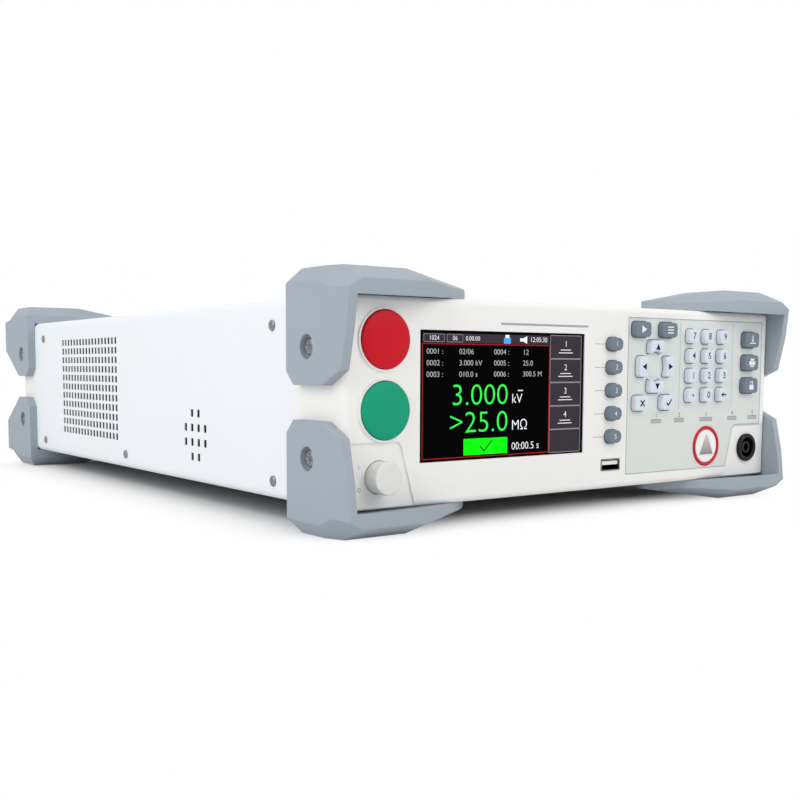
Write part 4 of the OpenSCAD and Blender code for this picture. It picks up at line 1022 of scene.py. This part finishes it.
# Data socket. A folded nickel shell, open at the front, with a white tongue in its upper half.
# The shell's colour darkens deeper into the opening as painted shade.
def box_ring(half_w, half_h, corner, steps=5):
    """Points round a rectangle with round corners: a quarter circle about each corner's centre."""
    quarter = np.linspace(0, math.pi / 2, steps)
    starts = np.arange(4) * math.pi / 2
    angle = (starts[:, None] + quarter).ravel()
    sides = np.repeat(np.array([(1, 1), (-1, 1), (-1, -1), (1, -1)]), steps, axis=0)
    middle = sides * np.array([half_w - corner, half_h - corner])
    return middle + corner * np.column_stack([np.cos(angle), np.sin(angle)])


def drawn_out(rings, centre):
    """Grid through rings of x and z, each at its own depth y; a ring scaled to nothing closes an end."""
    return np.stack([np.column_stack([centre[0] + ring[:, 0] * scale, np.full(len(ring), y),
                                      centre[1] + ring[:, 1] * scale]) for ring, scale, y in rings])


low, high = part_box("usb_socket")
socket_mid = ((low.x + high.x) / 2, (low.z + high.z) / 2)
shell_half = ((high.x - low.x) / 2, (high.z - low.z) / 2)
shell_wall = 0.35 * MM
outer = box_ring(*shell_half, 0.5 * MM)
inner = box_ring(shell_half[0] - shell_wall, shell_half[1] - shell_wall, 0.2 * MM)
floor_y = high.y - 1 * MM
nickel = finish("socket_nickel", (150, 150, 148), 0.3, drift=0.04, metallic=1.0)
painted_shade_from, painted_shade_full = face_y + 0.2 * MM, face_y + 2.5 * MM
# Painted shade: the nickel turns dark brown-grey from just behind the front to a few millimetres in, where
# the opening lies in shade.
second_colour(nickel, place_along(nickel, "Y"), painted_shade_from, painted_shade_full, None, (40, 38, 36))
rings = [(inner, 0, floor_y), (inner, 1, floor_y), (inner, 1, low.y), (outer, 1, low.y), (outer, 1, high.y),
         (outer, 0, high.y)]
stands_for(skins("usb_shell", [drawn_out(rings, socket_mid)], nickel), "usb_socket")
tongue_white = finish("socket_tongue", (238, 238, 236), 0.45)
tongue = box_ring(shell_half[0] - 0.9 * MM, 0.9 * MM, 0.1 * MM)
tongue_mid = (socket_mid[0], socket_mid[1] + 0.9 * MM)
tongue_y = face_y + 0.5 * MM
rings = [(tongue, 0, tongue_y), (tongue, 1, tongue_y), (tongue, 1, floor_y), (tongue, 0, floor_y)]
skins("usb_tongue", [drawn_out(rings, tongue_mid)], tongue_white)


# Output jack. A black insulating collar, held by a nut behind the wall, with a deep groove
# round a dark contact tube.
low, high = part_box("output_jack")
nut_r = (high.x - low.x) / 2
jack_r = nut_r - 1.4 * MM
groove_r = jack_r - 2.2 * MM
tube_r = 3.3 * MM
bore_r = 2.0 * MM
bore_end = face_y + 18 * MM
groove_end = face_y + 15 * MM
lip = 0.5 * MM
bend = np.linspace(0, math.pi / 2, 6)
collar = np.column_stack([jack_r - lip + lip * np.cos(bend), low.y + lip - lip * np.sin(bend)])
inward = np.column_stack([groove_r + lip - lip * np.sin(bend), low.y + lip - lip * np.cos(bend)])
neck_r = jack_r - 1.4 * MM
nut_front, nut_back = face_y + 3 * MM, face_y + 7 * MM
seat = face_y + 0.8 * MM
back = [(0, high.y), (neck_r, high.y), (neck_r, nut_back), (nut_r, nut_back), (nut_r, nut_front),
        (neck_r, nut_front), (neck_r, seat), (jack_r, seat)]
profile = np.vstack([back, collar, inward, [(groove_r, groove_end), (0, groove_end)]])
jack_black = finish("jack_insulator", (14, 15, 18), 0.3, drift=0.1, mirror=0.2)
turned_piece("jack_insulator", profile, jack_black, "output_jack")
contact = finish("jack_contact", (48, 52, 58), 0.35, drift=0.05, metallic=1.0)
tube_cut, bore_cut = 0.3 * MM, 0.2 * MM
tube_back = bore_end + 0.5 * MM
profile = np.array([(tube_r, groove_end), (tube_r, face_y + tube_cut), (tube_r - tube_cut, face_y),
                    (bore_r + bore_cut, face_y), (bore_r, face_y + bore_cut), (bore_r, bore_end),
                    (0, bore_end), (0, tube_back), (tube_r, tube_back), (tube_r, groove_end)])
turned_piece("jack_contact", profile, contact, "output_jack")


# Rear panel and what is fitted in it: brushed sheet, black fan and inlet, brass earth post.
brushed = finish("brushed_panel", (190, 193, 195), 0.35, fine=60, drift=0.03, bump=0.03, metallic=1.0,
                 stretch=(1, 1, 60))
black_plastic = finish("black_plastic", (24, 24, 26), 0.5, fine=1500, drift=0.1)
brass = finish("earth_brass", (200, 164, 90), 0.3, drift=0.05, metallic=1.0)
wear("rear_panel", brushed)
for node in ("fan_frame", "fan_rotor", "mains_inlet"):
    wear(node, black_plastic)
wear("earth_terminal", brass)


# Main board and its two rear ports. The board stands on the tray; each port is a nickel shell
# with slanting ends that passes through the rear panel, round a black block with two rows of pins.
shell_end = panel_back + 4 * MM
block_out = 0.6 * MM


def ports_cut(points):
    """The blocks of the ports drawn back into their shells."""
    points[:, 1] = np.minimum(points[:, 1], panel_back + block_out)
    return points


board_finish = finish("main_board_green", (30, 92, 58), 0.45, fine=300, drift=0.15)
block_start = panel_back - 3 * MM
block_from = place_along(board_finish, "Y")
second_colour(board_finish, block_from, block_start, block_start + 0.1 * MM, None, (28, 28, 30))
dress("main_board", board_finish, reshape=ports_cut)
low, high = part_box("main_board")
port_x = (low.x + high.x) / 2
port_step = 44 * MM
port_z = low.z + 8.1 * MM
port_half = (8.5 * MM, 4.25 * MM)
slant = 0.08
pin_step = 2.77 * MM
pin_rise = 1.42 * MM
pin_r = 0.5 * MM
pin_end = panel_back + 3.2 * MM
shell_outer = box_ring(port_half[0] + 0.1 * MM, port_half[1] + 0.1 * MM, 2 * MM)
shell_inner = box_ring(port_half[0] - 0.4 * MM, port_half[1] - 0.4 * MM, 1.6 * MM)
for ring in (shell_outer, shell_inner):
    ring[:, 0] *= 1 + slant * (ring[:, 1] / port_half[1] - 1)
shells, pins = [], []
for x in (port_x - port_step / 2, port_x + port_step / 2):
    rings = [(shell_outer, 1, panel_back), (shell_outer, 1, shell_end), (shell_inner, 1, shell_end),
             (shell_inner, 1, panel_back), (shell_outer, 1, panel_back)]
    shells.append(drawn_out(rings, (x, port_z)))
    rows = [(k - 2, pin_rise) for k in range(5)] + [(k - 1.5, -pin_rise) for k in range(4)]
    profile = [(0, pin_end), (0.6 * pin_r, pin_end - 0.1 * MM), (pin_r, pin_end - pin_r), (pin_r, panel_back),
               (0, panel_back)]
    pins += [turned(profile, x + k * pin_step, port_z + rise, steps=12) for k, rise in rows]
port_nickel = finish("port_nickel", (196, 195, 190), 0.3, fine=900, drift=0.04, bump=0.02, metallic=1.0)
skins("port_shells", shells, port_nickel)
skins("port_pins", pins, brass)


# Inner pieces, seen only through the vents: boards, display panel and the laminated transformer.
wear("front_board", finish("board_green", (30, 92, 58), 0.45, fine=300, drift=0.15))
wear("display_module", finish("panel_case", (70, 72, 76), 0.5, drift=0.1))
lamination = finish("core_lamination", (110, 96, 78), 0.5, fine=40, drift=0.15, stretch=(50, 1, 1))
wear("transformer", lamination)
